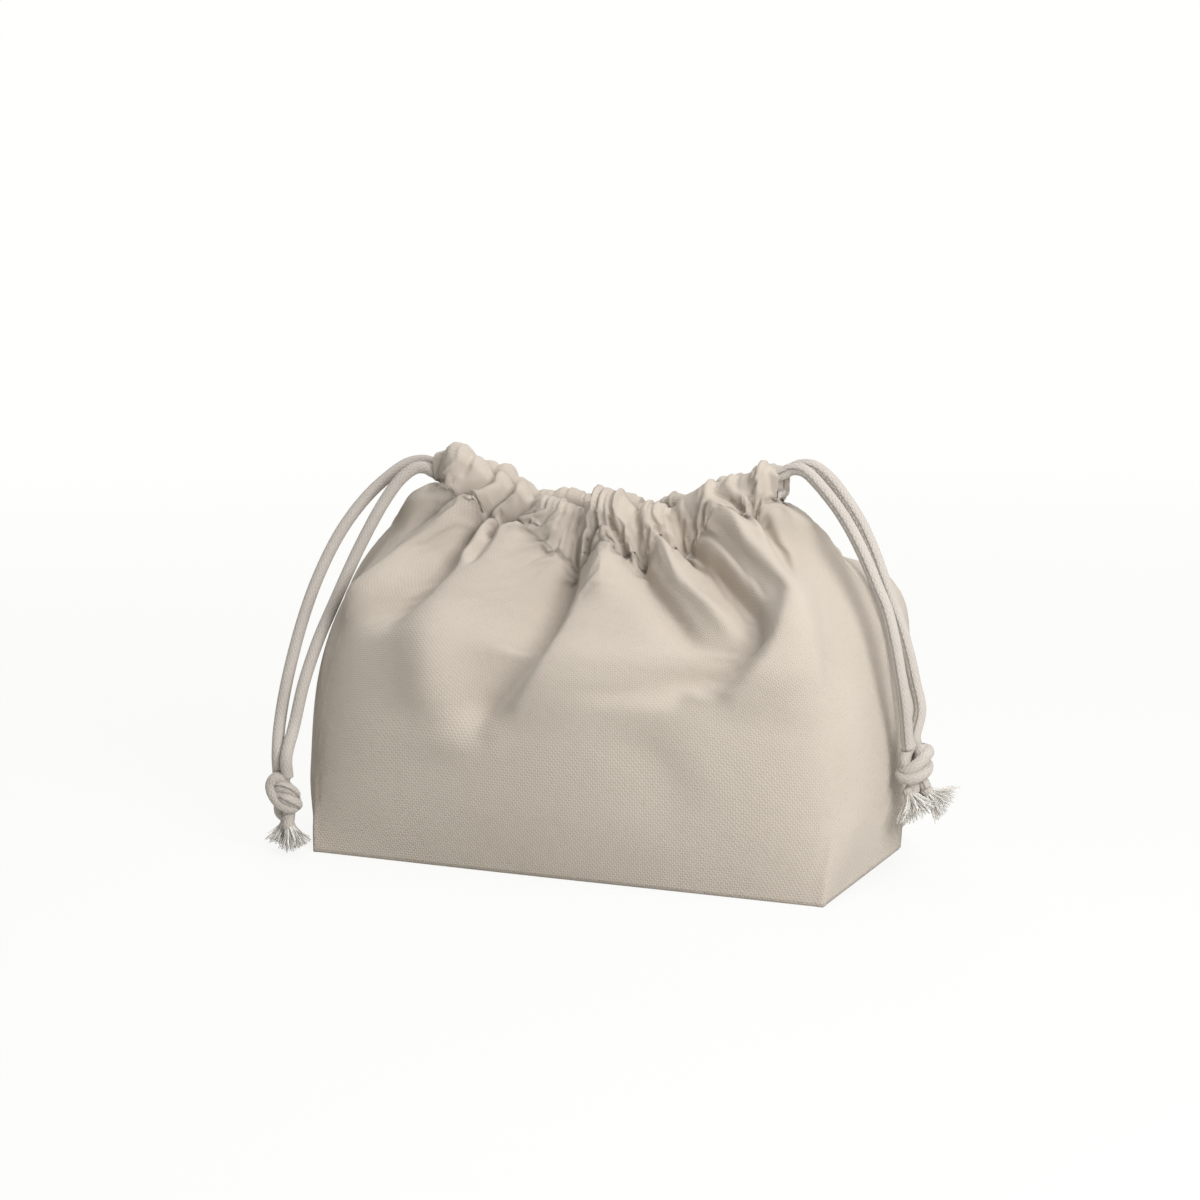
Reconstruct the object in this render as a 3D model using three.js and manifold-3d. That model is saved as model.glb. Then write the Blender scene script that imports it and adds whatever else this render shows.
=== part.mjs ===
// Drawstring bag of unbleached cotton canvas, standing half drawn shut on its own base.
// Lengths are in millimetres, +Z is up, the front faces -Y, and the origin is the middle of
// the base on the surface that the bag stands on.
import * as THREE from 'three';
import { mergeVertices } from 'three/addons/utils/BufferGeometryUtils.js';
import Module from 'manifold-3d';

const wasm = await Module();
wasm.setup();

// Body of the bag
const baseWidth = 216;
const baseDepth = 112;
const seamBulge = 16; // how far the middle of each side stands out past the base's corners
const seamLift = 10; // how far the base's ends are pulled up at the side seams
const clothThickness = 1.5;
const fitGap = 0.3; // air between sewn layers
const bellyBulge = 4;
const shoulderHeight = 88;
const clothHeight = 190; // length of cloth from the base up over the shoulder to the casing
const flatHalfWidth = 92; // half of the base's stretch that lies flat on the ground

// Seam binding inside the bag
const bindingThickness = 1.2;
const bindingHalfWidth = 4;
const baseBindingHeight = 9;

// Casing, the folded hem that the cords run through
const casingHalfLength = 66;
const casingStraight = 25; // straight stretch at each end, where the cords slide
const casingHeight = 18;
const casingThickness = 9;
const casingChamfer = 2.5;
const casingWall = 1.2;
const casingSlope = 0.45; // rise of the straight stretch over its run
const casingMiddleHeight = 132; // centre line at the middle of the mouth
const casingEndHeight = 151.2; // centre line at the casing's ends
const casingSteps = 36; // places along a casing where its section is set
const mouthHalfWidth = 13; // centre line of one casing at the middle, from the bag's middle plane
const mouthStraight = 12; // half of the stretch at the middle where the mouth is that wide
const neckHalfWidth = 5; // the same at the side seams
const puffs = 12;
const puffDepth = 1.3;

// Thread
const threadWidth = 0.9;
const threadDepth = 0.5;
const bartackLength = 5;
const bartackHeight = 6;

// Cords
const cordDiameter = 5;
const cordSides = 8;
const cordLevel = 3.6; // each cord's height above or below the casing's centre line
const leadReach = 9; // from the casing's end to the point where the cord starts to bend
const leadInset = 7.5; // from the start of the straight stretch to the lead's inner end
const cordStep = 12;
const runStep = 7;
const knotWidth = 14.5;
const knotHeight = 15.5;

const finishes = {
  canvas: { color: 0xc9bba8, roughness: 0.92, metalness: 0 },
  hem: { color: 0xcdbfad, roughness: 0.92, metalness: 0 },
  binding: { color: 0xbfb29f, roughness: 0.95, metalness: 0 },
  thread: { color: 0xd8ccba, roughness: 0.8, metalness: 0 },
  cord: { color: 0xcfc6ba, roughness: 0.9, metalness: 0 },
  fray: { color: 0xe0d9cf, roughness: 1, metalness: 0 },
};

const bag = new THREE.Group();

function addMesh(name, geometry, finish, parent = bag) {
  const mesh = new THREE.Mesh(geometry, new THREE.MeshStandardMaterial(finishes[finish]));
  mesh.name = name;
  parent.add(mesh);
  return mesh;
}

const smooth = (x) => {
  const t = THREE.MathUtils.clamp(x, 0, 1);
  return t * t * (3 - 2 * t);
};

function geometryOf(points, quads, triangles = []) {
  const faces = quads.flatMap(([a, b, c, d]) => [a, b, c, a, c, d]);
  const geometry = new THREE.BufferGeometry().setFromPoints(points);
  geometry.setIndex([...faces, ...triangles.flat()]);
  geometry.computeVertexNormals();
  return geometry;
}

// A closed body between an outer and an inner grid of points, open at its ends or wrapped round
function layer(outer, inner, wrapped = false) {
  const columns = outer.length;
  const rows = outer[0].length;
  const at = (side, i, j) => side * columns * rows + (i % columns) * rows + j;
  const quads = [];
  const spans = wrapped ? columns : columns - 1;
  for (let i = 0; i < spans; i += 1) {
    for (let j = 0; j < rows - 1; j += 1) {
      quads.push([at(0, i, j), at(0, i + 1, j), at(0, i + 1, j + 1), at(0, i, j + 1)]);
      quads.push([at(1, i, j), at(1, i, j + 1), at(1, i + 1, j + 1), at(1, i + 1, j)]);
    }
    const top = rows - 1;
    quads.push([at(0, i, 0), at(1, i, 0), at(1, i + 1, 0), at(0, i + 1, 0)]);
    quads.push([at(0, i, top), at(0, i + 1, top), at(1, i + 1, top), at(1, i, top)]);
  }
  if (!wrapped) {
    const last = columns - 1;
    for (let j = 0; j < rows - 1; j += 1) {
      quads.push([at(0, 0, j), at(0, 0, j + 1), at(1, 0, j + 1), at(1, 0, j)]);
      quads.push([at(0, last, j), at(1, last, j), at(1, last, j + 1), at(0, last, j + 1)]);
    }
  }
  return geometryOf([...outer.flat(), ...inner.flat()], quads);
}

// A bar through rings of points that follow each other along +X
function bar(rings) {
  const sides = rings[0].length;
  const last = rings.length - 1;
  const at = (i, j) => i * sides + (j % sides);
  const quads = [];
  const ends = [];
  for (let j = 0; j < sides; j += 1) {
    for (let i = 0; i < last; i += 1) {
      quads.push([at(i, j), at(i + 1, j), at(i + 1, j + 1), at(i, j + 1)]);
    }
    if (j > 0 && j < sides - 1) {
      ends.push([at(0, 0), at(0, j), at(0, j + 1)], [at(last, 0), at(last, j + 1), at(last, j)]);
    }
  }
  return geometryOf(rings.flat(), quads, ends);
}

// A sleeve along +X with a bore, between outer and inner rings of points
function sleeve(outer, inner) {
  const sides = outer[0].length;
  const last = outer.length - 1;
  const at = (side, i, j) => side * outer.length * sides + i * sides + (j % sides);
  const quads = [];
  for (let j = 0; j < sides; j += 1) {
    for (let i = 0; i < last; i += 1) {
      quads.push([at(0, i, j), at(0, i + 1, j), at(0, i + 1, j + 1), at(0, i, j + 1)]);
      quads.push([at(1, i, j), at(1, i, j + 1), at(1, i + 1, j + 1), at(1, i + 1, j)]);
    }
    quads.push([at(0, 0, j), at(0, 0, j + 1), at(1, 0, j + 1), at(1, 0, j)]);
    quads.push([at(0, last, j), at(1, last, j), at(1, last, j + 1), at(0, last, j + 1)]);
  }
  return geometryOf([...outer.flat(), ...inner.flat()], quads);
}

// Casing's centre line: distance out from the middle plane, and height, at a place x
const straightStart = casingHalfLength - casingStraight;

function casingOut(x) {
  const closed = smooth((Math.abs(x) - mouthStraight) / (straightStart - mouthStraight));
  return THREE.MathUtils.lerp(mouthHalfWidth, neckHalfWidth, closed);
}

function casingUp(x) {
  const away = Math.abs(x);
  const startHeight = casingEndHeight - casingSlope * casingStraight;
  if (away >= straightStart) return startHeight + casingSlope * (away - straightStart);
  const t = away / straightStart;
  const rise = (startHeight - casingMiddleHeight) * (3 * t ** 2 - 2 * t ** 3);
  return casingMiddleHeight + rise + casingSlope * straightStart * (t ** 3 - t ** 2);
}

const panelTop = (x) => casingUp(x) - casingHeight / 2 - fitGap;

// Right half of the front, as lines that run up the cloth from the base to the casing.
// Each point is x, how far it stands out to the front, and its height.
const halfWidth = baseWidth / 2;
const halfDepth = baseDepth / 2;
const seamHalfWidth = halfWidth + seamBulge;
const belly = halfDepth + bellyBulge;
const seamTop = casingHalfLength + 8;
const midRise = 0.38 * shoulderHeight;

// Where a line meets the casing, as a share of the way from the middle to the casing's end
function topEdge(share) {
  const x = share * casingHalfLength;
  return [x, casingOut(x) + clothThickness / 2, panelTop(x)];
}

const upLines = [
  [
    [0, halfDepth, 0],
    [0, belly, midRise],
    [0, belly, 0.75 * shoulderHeight],
    [0, belly - 6, shoulderHeight],
    [0, belly - 19, shoulderHeight + 12],
    [0, belly - 33, shoulderHeight + 22],
    topEdge(0),
  ],
  [
    [halfWidth / 2, halfDepth, 0],
    [halfWidth / 2 + 1, belly - 1, midRise],
    [halfWidth / 2, belly - 1, 0.77 * shoulderHeight],
    [halfWidth / 2 - 3, belly - 7, shoulderHeight + 4],
    [halfWidth / 2 - 8, belly - 20, shoulderHeight + 18],
    [halfWidth / 2 - 17, belly - 33, shoulderHeight + 28],
    topEdge(0.38),
  ],
  [
    [halfWidth, halfDepth, 0],
    [halfWidth + 3, halfDepth - 2, midRise - 2],
    [halfWidth, halfDepth - 4, 0.73 * shoulderHeight],
    [halfWidth - 7, halfDepth - 7, shoulderHeight + 4],
    [halfWidth - 17, halfDepth - 15, shoulderHeight + 20],
    [halfWidth - 36, halfDepth - 33, shoulderHeight + 33],
    topEdge(0.73),
  ],
  [
    [(halfWidth + seamHalfWidth) / 2, halfDepth / 2, seamLift / 2],
    [seamHalfWidth - 5, halfDepth / 2, midRise + 2],
    [seamHalfWidth - 8, halfDepth / 2, 0.8 * shoulderHeight],
    [seamHalfWidth - 17, halfDepth / 2 - 2, shoulderHeight + 10],
    [seamHalfWidth - 28, halfDepth / 2 - 7, shoulderHeight + 26],
    [seamHalfWidth - 43, halfDepth / 2 - 15, shoulderHeight + 42],
    topEdge(0.955),
  ],
  [
    [seamHalfWidth, 0, seamLift],
    [seamHalfWidth + 1, 0, midRise + 3],
    [seamHalfWidth - 3, 0, 0.83 * shoulderHeight],
    [seamHalfWidth - 6, 0, shoulderHeight + 11],
    [seamHalfWidth - 15, 0, shoulderHeight + 30],
    [seamHalfWidth - 31, 0, shoulderHeight + 44],
    [seamTop, 0, panelTop(seamTop)],
  ],
];
const upCurves = upLines.map(
  (line) => new THREE.CatmullRomCurve3(line.map(([x, out, z]) => new THREE.Vector3(x, -out, z))),
);

// Ridges and valleys of the filled cloth. Each line runs up the cloth through points of [level,
// place across]: levels go from 0 at the base to 1 at the casing, and places from -1 at the left
// seam to 1 at the right one. A valley's height is negative. A fold is as wide to its left and
// right as given, and it begins gently over a stretch of levels.
const frontFolds = [
  { line: [[0.29, -0.16], [0.39, -0.11], [0.51, -0.06], [0.67, -0.045], [1, -0.055]], height: -7, left: 0.09, right: 0.035, rise: 0.12 },
  { line: [[0.28, -0.2], [0.34, -0.23], [0.51, -0.28], [0.7, -0.3], [1, -0.33]], height: 4.2, left: 0.06, right: 0.06, rise: 0.18 },
  { line: [[0.36, -0.06], [0.44, -0.03], [0.58, 0], [0.75, 0.02], [1, 0.05]], height: 5, left: 0.035, right: 0.12, rise: 0.18 },
  { line: [[0.58, 0.25], [0.68, 0.22], [0.82, 0.19], [1, 0.19]], height: -5, left: 0.045, right: 0.035, rise: 0.16 },
  { line: [[0.62, 0.33], [0.7, 0.32], [0.82, 0.29], [1, 0.29]], height: 3.2, left: 0.03, right: 0.03, rise: 0.18 },
  { line: [[0.4, 0.22], [0.48, 0.32], [0.59, 0.375], [0.73, 0.415], [0.83, 0.4], [1, 0.37]], height: -7.5, left: 0.09, right: 0.035, rise: 0.12 },
  { line: [[0.42, 0.34], [0.52, 0.41], [0.65, 0.47], [0.74, 0.53], [1, 0.545]], height: 6, left: 0.035, right: 0.13, rise: 0.18 },
  { line: [[0.58, -0.5], [0.7, -0.49], [0.83, -0.53], [1, -0.58]], height: 4, left: 0.08, right: 0.065, rise: 0.18 },
  { line: [[0.56, -0.37], [0.66, -0.36], [0.8, -0.36], [0.88, -0.4], [1, -0.48]], height: -6, left: 0.05, right: 0.03, rise: 0.18 },
  { line: [[0.78, 0.62], [0.86, 0.66], [1, 0.8]], height: -3.5, left: 0.05, right: 0.05, rise: 0.14 },
];
const backFolds = [
  { line: [[0.6, -0.48], [0.84, -0.5], [1, -0.52]], height: 4.5, left: 0.08, right: 0.07, rise: 0.18 },
  { line: [[0.54, -0.35], [0.8, -0.4], [1, -0.42]], height: -6, left: 0.07, right: 0.04, rise: 0.16 },
  { line: [[0.52, -0.24], [0.8, -0.28], [1, -0.3]], height: 4, left: 0.06, right: 0.08, rise: 0.18 },
  { line: [[0.4, -0.08], [0.7, -0.15], [1, -0.18]], height: -6.5, left: 0.05, right: 0.1, rise: 0.16 },
  { line: [[0.46, 0.05], [0.76, -0.01], [1, -0.04]], height: 4.5, left: 0.06, right: 0.11, rise: 0.18 },
  { line: [[0.36, 0.24], [0.66, 0.17], [1, 0.12]], height: -6.5, left: 0.1, right: 0.05, rise: 0.16 },
  { line: [[0.56, 0.31], [1, 0.26]], height: 4, left: 0.06, right: 0.06, rise: 0.18 },
  { line: [[0.52, 0.44], [0.8, 0.41], [1, 0.4]], height: -5.5, left: 0.05, right: 0.05, rise: 0.16 },
  { line: [[0.62, 0.54], [1, 0.54]], height: 4.5, left: 0.06, right: 0.08, rise: 0.18 },
  { line: [[0.74, 0.66], [1, 0.71]], height: -3.5, left: 0.05, right: 0.05, rise: 0.14 },
];
const foldFade = 0.18; // share of the cloth's height over which every fold dies out under the casing
const sideFullness = { front: 0, back: 8 }; // how far the sides belly out beside the seams
const fullnessPlace = 0.78; // share of the way from the middle to a seam where they do so most
const fullnessSpread = 0.14;

function fullnessAt(fullness, t, v) {
  const away = (Math.abs(t) - fullnessPlace) / fullnessSpread;
  return fullness * Math.exp(-(away ** 2)) * Math.sin(Math.PI * v);
}

function placeAt(line, v) {
  const next = Math.max(line.findIndex(([level]) => level >= v), 1);
  const [low, high] = [line[next - 1], line[next]];
  const way = THREE.MathUtils.clamp((v - low[0]) / (high[0] - low[0]), 0, 1);
  return THREE.MathUtils.lerp(low[1], high[1], way);
}

function foldLift(folds, t, v) {
  const fade = smooth((1 - v) / foldFade);
  return folds.reduce((sum, { line, height, left, right, rise }) => {
    const away = t - placeAt(line, v);
    const strength = fade * smooth((v - line[0][0]) / rise + 0.5);
    return sum + height * strength * Math.exp(-((away / (away < 0 ? left : right)) ** 2));
  }, 0);
}

const cornerFade = 0.3; // level above which the corners are fully round

// A point of the cloth's outer face: t runs from the left seam at -1 to the right seam at 1, and
// v from the base at 0 to the casing at 1. The corners are sharp at the base and round higher up.
function clothPoint(t, v) {
  const side = Math.sign(t) || 1;
  const row = upCurves.map((curve) => curve.getPoint(v));
  const whole = [...row.slice(1).reverse().map((p) => new THREE.Vector3(-p.x, p.y, p.z)), ...row];
  const across = ((t + 1) / 2) * (whole.length - 1);
  const i = Math.min(Math.floor(across), whole.length - 2);
  const straight = whole[i].clone().lerp(whole[i + 1], across - i);
  const round = new THREE.CatmullRomCurve3(whole).getPoint((t + 1) / 2);
  const point = straight.lerp(round, smooth(v / cornerFade));
  const reach = THREE.MathUtils.lerp(point.z, panelTop(side * point.x), v ** 6);
  return new THREE.Vector3(point.x, point.y, reach);
}

function clothNormal(t, v) {
  const step = 0.004;
  const acrossEnd = clothPoint(Math.min(t + step, 1), v).sub(clothPoint(Math.max(t - step, -1), v));
  const upEnd = clothPoint(t, Math.min(v + step, 1)).sub(clothPoint(t, Math.max(v - step, 0)));
  const normal = acrossEnd.cross(upEnd).normalize();
  if (Math.abs(t) === 1) normal.setY(0).normalize();
  return normal;
}

// The whole way round: u from -1 to 1 is the front, and from 1 to 3 the back
function roundPoint(u, v, inward) {
  const back = u > 1;
  const t = back ? u - 2 : u;
  const folds = back ? backFolds : frontFolds;
  const fullness = back ? sideFullness.back : sideFullness.front;
  const point = clothPoint(t, v);
  const outward = fullnessAt(fullness, t, v) + foldLift(folds, t, v) - inward;
  point.addScaledVector(clothNormal(t, v), outward);
  if (back) point.set(-point.x, -point.y, point.z);
  return point;
}

// Stops across one panel: close together over the folds of the front
const sideStops = 3;
const frontStops = 8;
const stops = [];
for (const [from, to, count] of [
  [-1, -0.75, sideStops], [-0.75, -0.5, sideStops], [-0.5, -0.25, frontStops],
  [-0.25, 0, frontStops], [0, 0.25, frontStops], [0.25, 0.5, frontStops],
  [0.5, 0.75, sideStops], [0.75, 1, sideStops],
]) {
  for (let k = 0; k < count; k += 1) stops.push(from + ((to - from) * k) / count);
}
const levels = [0, 0.08, 0.2, 0.3, 0.37, 0.44, 0.51, 0.58, 0.65, 0.72, 0.79, 0.86, 0.93, 1];
const wallFoot = clothThickness + fitGap;

// The foot of the walls stands on the base panel, so every height is eased up from there
function lifted(point) {
  point.z += wallFoot * (1 - smooth(point.z / shoulderHeight));
  return point;
}

function panelGrid(middle, inward) {
  const seamEdge = fitGap / 2;
  return [...stops, 1].map((t) => levels.map((v) => {
    const point = lifted(roundPoint(middle + t, v, inward));
    point.y = middle === 0 ? Math.min(point.y, -seamEdge) : Math.max(point.y, seamEdge);
    return point;
  }));
}

addMesh('front_panel', layer(panelGrid(0, 0), panelGrid(0, clothThickness)), 'canvas');
addMesh('back_panel', layer(panelGrid(2, 0), panelGrid(2, clothThickness)), 'canvas');

// Base panel, flat where it rests and drawn up to the seams at both ends
const baseAcross = [-1, -0.95, -0.9, -0.84, -0.4, 0, 0.4, 0.84, 0.9, 0.95, 1];
const baseAlong = [-1, -0.5, 0, 0.5, 1];

function basePoint(a, b, up) {
  const reach = halfWidth + seamBulge * (1 - Math.abs(b));
  const x = a * reach;
  const rise = THREE.MathUtils.clamp((Math.abs(x) - flatHalfWidth) / (reach - flatHalfWidth), 0, 1);
  return new THREE.Vector3(x, b * halfDepth, up + seamLift * (1 - Math.abs(b)) * rise ** 1.5);
}

const baseGrid = (up) => baseAlong.map((b) => baseAcross.map((a) => basePoint(a, b, up)));
addMesh('base_panel', layer(baseGrid(0), baseGrid(clothThickness)), 'canvas');

// Bindings that hold the edges inside: one round the base and one up each side
const bindingOuter = clothThickness + fitGap;
const bindingInner = bindingOuter + bindingThickness;
const bindingFoot = 0.012;
const bindingTop = bindingFoot + baseBindingHeight / clothHeight;

function bindingRing(inward) {
  const back = [1, ...stops.slice(1).map((t) => t + 2)];
  return [...stops, ...back].map((u) => [bindingFoot, bindingTop].map((v) => {
    const point = lifted(roundPoint(u, v, inward));
    point.z += fitGap;
    return point;
  }));
}

addMesh('base_binding', layer(bindingRing(bindingOuter), bindingRing(bindingInner), true), 'binding');

const sideLevels = [0.09, 0.2, 0.34, 0.47, 0.57, 0.66, 0.75, 0.84, 0.92, 0.985];

function sideBinding(inward) {
  const reach = bindingHalfWidth / (2 * halfDepth);
  const columns = [
    (v) => roundPoint(1 - reach, v, inward),
    (v) => roundPoint(1, v, inward),
    (v) => roundPoint(1 - reach, v, inward).multiply(new THREE.Vector3(1, -1, 1)),
  ];
  return columns.map((column) => sideLevels.map((v) => lifted(column(v))));
}

for (const [name, turn] of [['right_side_binding', 0], ['left_side_binding', Math.PI]]) {
  const outer = sideBinding(bindingOuter + fitGap);
  const mesh = addMesh(name, layer(outer, sideBinding(bindingInner + fitGap)), 'binding');
  mesh.rotation.z = turn;
}

// Casings
function casingSection(x, halfThickness, halfHeight, chamfer, bulge) {
  const y = -casingOut(x);
  const z = casingUp(x);
  const front = halfThickness + bulge;
  return [
    [halfThickness - chamfer, -halfHeight], [chamfer - front, -halfHeight],
    [-front, -halfHeight + chamfer], [-front, halfHeight - chamfer],
    [chamfer - front, halfHeight], [halfThickness - chamfer, halfHeight],
    [halfThickness, halfHeight - chamfer], [halfThickness, -halfHeight + chamfer],
  ].map(([dy, dz]) => new THREE.Vector3(x, y + dy, z + dz));
}

const puffAt = (x) => {
  const phase = (puffs * Math.PI * (x + casingHalfLength)) / (2 * casingHalfLength);
  return puffDepth * Math.sin(phase) ** 2;
};

function casingRings(shrink) {
  const rings = [];
  for (let k = 0; k <= casingSteps; k += 1) {
    const x = casingHalfLength * ((2 * k) / casingSteps - 1);
    const bulge = shrink === 0 ? puffAt(x) : 0;
    const chamfer = casingChamfer - shrink / 2;
    rings.push(casingSection(x, casingThickness / 2 - shrink, casingHeight / 2 - shrink, chamfer, bulge));
  }
  return rings;
}

// Thread: the row of stitches under each casing, and a bar of stitches at each of its ends
const threadLow = -casingHeight / 2 + casingChamfer + threadWidth / 2;
const threadEnd = casingHalfLength - bartackLength - 2 * fitGap;

function threadRings() {
  const rings = [];
  for (let k = 0; k <= casingSteps; k += 1) {
    const x = threadEnd * ((2 * k) / casingSteps - 1);
    const face = -casingOut(x) - casingThickness / 2 - puffDepth - fitGap;
    const z = casingUp(x) + threadLow;
    rings.push([
      [face - threadDepth, z - threadWidth / 2], [face - threadDepth, z + threadWidth / 2],
      [face, z + threadWidth / 2], [face, z - threadWidth / 2],
    ].map(([y, up]) => new THREE.Vector3(x, y, up)));
  }
  return rings;
}

for (const [side, turn] of [['front', 0], ['back', Math.PI]]) {
  const turned = new THREE.Group();
  turned.rotation.z = turn;
  bag.add(turned);
  addMesh(`${side}_casing`, sleeve(casingRings(0), casingRings(casingWall)), 'hem', turned);
  addMesh(`${side}_casing_stitching`, bar(threadRings()), 'thread', turned);
  for (const end of [-1, 1]) {
    const seamSide = end * Math.cos(turn) < 0 ? 'left' : 'right';
    const tack = new THREE.BoxGeometry(bartackLength, threadDepth, bartackHeight);
    const mesh = addMesh(`${seamSide}_${side}_bartack`, tack, 'thread', turned);
    const x = end * (casingHalfLength - bartackLength / 2);
    const face = casingOut(x) + casingThickness / 2 + puffDepth + fitGap;
    mesh.position.set(x, -face - threadDepth / 2, casingUp(x) - bartackHeight / 4);
    mesh.rotation.y = -end * Math.atan(casingSlope);
  }
}

// Cords. The left cord lies low in the casings and comes out on the left; the right cord lies
// high and comes out on the right. Each goes all the way round and turns at the far end.
const cordRadius = cordDiameter / 2;
const slopeLength = Math.hypot(1, casingSlope);
const leadEnd = casingHalfLength + leadReach;
const leadStart = straightStart + leadInset;
const turnStart = casingHalfLength + 1;

function cordShape(radius, sides) {
  const shape = new THREE.Shape();
  for (let k = 0; k < sides; k += 1) {
    const angle = (2 * Math.PI * (k + 0.5)) / sides;
    shape[k === 0 ? 'moveTo' : 'lineTo'](radius * Math.cos(angle), radius * Math.sin(angle));
  }
  shape.closePath();
  return shape;
}

function cordTube(points, step) {
  const path = points.length === 2
    ? new THREE.LineCurve3(points[0], points[1])
    : new THREE.CatmullRomCurve3(points, false, 'centripetal');
  const steps = Math.max(1, Math.round(path.getLength() / step));
  const geometry = new THREE.ExtrudeGeometry(cordShape(cordRadius, cordSides), {
    steps, extrudePath: path, bevelEnabled: false,
  });
  return geometry;
}

// Each strand runs from its exit, down outside the bag and into the top of the knot. Below the
// knot each tail leaves the flat under side, bends to its tip and ends in loose fibres.
const cords = {
  left: {
    side: -1,
    level: -cordLevel,
    backStrand: [
      [-79.5, 4.9, 153.7], [-84.5, 4.2, 154.6], [-90.5, 2.2, 153], [-97, -1.5, 148],
      [-104, -6.5, 140.5], [-110.5, -12.5, 130.5], [-115.5, -19, 119], [-119.5, -27, 104.5],
      [-122, -35.5, 88.5], [-124, -44, 69], [-124.6, -50.5, 52],
    ],
    frontStrand: [
      [-79, -5.2, 153.2], [-83.5, -6.4, 152.4], [-89, -8.9, 147.4], [-94.5, -12.5, 138.4],
      [-99.5, -16.8, 127.5], [-104, -22, 115.5], [-108.5, -30, 100], [-112.5, -38.5, 84.5],
      [-115.6, -46, 68], [-117.2, -52, 52],
    ],
    knot: { at: [-119.6, -58.2, 25.2], lean: [0.12, 0.04, 1.2] },
    tails: {
      front: { tip: [-115.4, -60.6, 10.6], end: [-113.2, -61.6, 3.2] },
      back: { tip: [-122, -57.8, 10.6], end: [-123.4, -58, 2.6] },
    },
  },
  right: {
    side: 1,
    level: cordLevel,
    backStrand: [
      [79.5, 4.9, 160.7], [85, 4.3, 160.4], [91.5, 3.4, 156.2], [98, 2.4, 149],
      [104.4, 1.4, 140.4], [109.8, 0.2, 130.6], [114.2, -1, 120.6], [119, -2.8, 110],
      [123.2, -4.4, 100.6], [126.8, -5.6, 90], [129.8, -6.6, 79], [132.4, -8, 69],
    ],
    frontStrand: [
      [79, -5.2, 160.6], [84.5, -6.4, 159.8], [91.5, -8.8, 154.4], [99.6, -12, 146.4],
      [106.4, -14.8, 137.6], [112, -17, 128.4], [117, -19.2, 119], [121.6, -21, 110],
      [125, -21.8, 98], [127.4, -21.2, 85], [128.8, -18.4, 72],
    ],
    knot: { at: [131.6, -12, 48], lean: [0.1, -0.12, -0.33] },
    tails: {
      front: { tip: [127.6, -16.6, 33.4], end: [125.8, -17.6, 27] },
      back: { tip: [138.4, -10.6, 35], end: [146, -10.6, 32] },
    },
  },
};

// A place on a cord inside the casing, front (-1) or back (1)
function inCasing(x, level, front) {
  return new THREE.Vector3(x, front * casingOut(x), casingUp(x) + level);
}

function runPoints(side, level) {
  const points = [];
  const nearEnd = side * (leadStart - fitGap / slopeLength);
  const spacing = 5;
  const count = Math.round((leadStart + turnStart) / spacing);
  const places = Array.from({ length: count + 1 }, (_, k) => k / count);
  const along = (k) => THREE.MathUtils.lerp(nearEnd, -side * turnStart, k);
  for (const k of places) points.push(inCasing(along(k), level, -1));
  const turns = 6;
  for (let k = 1; k < turns; k += 1) {
    const angle = (Math.PI * k) / turns;
    const reach = turnStart + (neckHalfWidth * Math.sin(angle)) / slopeLength;
    points.push(new THREE.Vector3(
      -side * reach, -neckHalfWidth * Math.cos(angle), casingUp(reach) + level,
    ));
  }
  for (const k of [...places].reverse()) points.push(inCasing(along(k), level, 1));
  return points;
}

// Knot: two bands cross over a third round a stout core, flat where the strands and tails meet it
function toManifold(geometry) {
  const bare = geometry.clone();
  bare.deleteAttribute('normal');
  bare.deleteAttribute('uv');
  const merged = mergeVertices(bare, 1e-4);
  return new wasm.Manifold(new wasm.Mesh({
    numProp: 3,
    vertProperties: new Float32Array(merged.attributes.position.array),
    triVerts: new Uint32Array(merged.index.array),
  }));
}

function fromManifold(solid) {
  const mesh = solid.getMesh();
  const geometry = new THREE.BufferGeometry();
  geometry.setAttribute('position', new THREE.BufferAttribute(mesh.vertProperties, 3));
  geometry.setIndex(new THREE.BufferAttribute(mesh.triVerts, 1));
  geometry.computeVertexNormals();
  return geometry;
}

function knotGeometry() {
  const ringRadius = knotWidth / 2 - cordRadius;
  const core = new THREE.CylinderGeometry(ringRadius + 0.4, ringRadius + 0.4, knotHeight, 10);
  let solid = toManifold(core.rotateX(Math.PI / 2));
  for (const [tiltX, tiltY] of [[0, 0.12], [0.8, 0.2], [-0.8, -0.25]]) {
    const band = new THREE.TorusGeometry(ringRadius, cordRadius, 6, 12);
    band.rotateX(tiltX).rotateY(tiltY);
    solid = solid.add(toManifold(band));
  }
  const block = toManifold(new THREE.BoxGeometry(2 * knotWidth, 2 * knotWidth, knotHeight));
  return fromManifold(solid.intersect(block));
}

// A frayed end: a stout cone of loose fibres that widens from the cord
function frayGeometry(length) {
  const profile = [
    [0, 0], [cordRadius, 0], [cordRadius * 1.35, length * 0.4], [cordRadius * 1.8, length * 0.8],
    [cordRadius * 1.5, length], [0, length],
  ];
  const points = profile.map(([radius, along]) => new THREE.Vector2(radius, along));
  return new THREE.LatheGeometry(points, 10);
}

const vector = (list) => new THREE.Vector3(...list);
const strandSpread = (cordDiameter + fitGap) / 2; // the two strands lie side by side in the knot
const knotEntry = 8; // straight stretch of each strand above the knot
const tailExit = 2; // straight stretch of each tail below it

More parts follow.
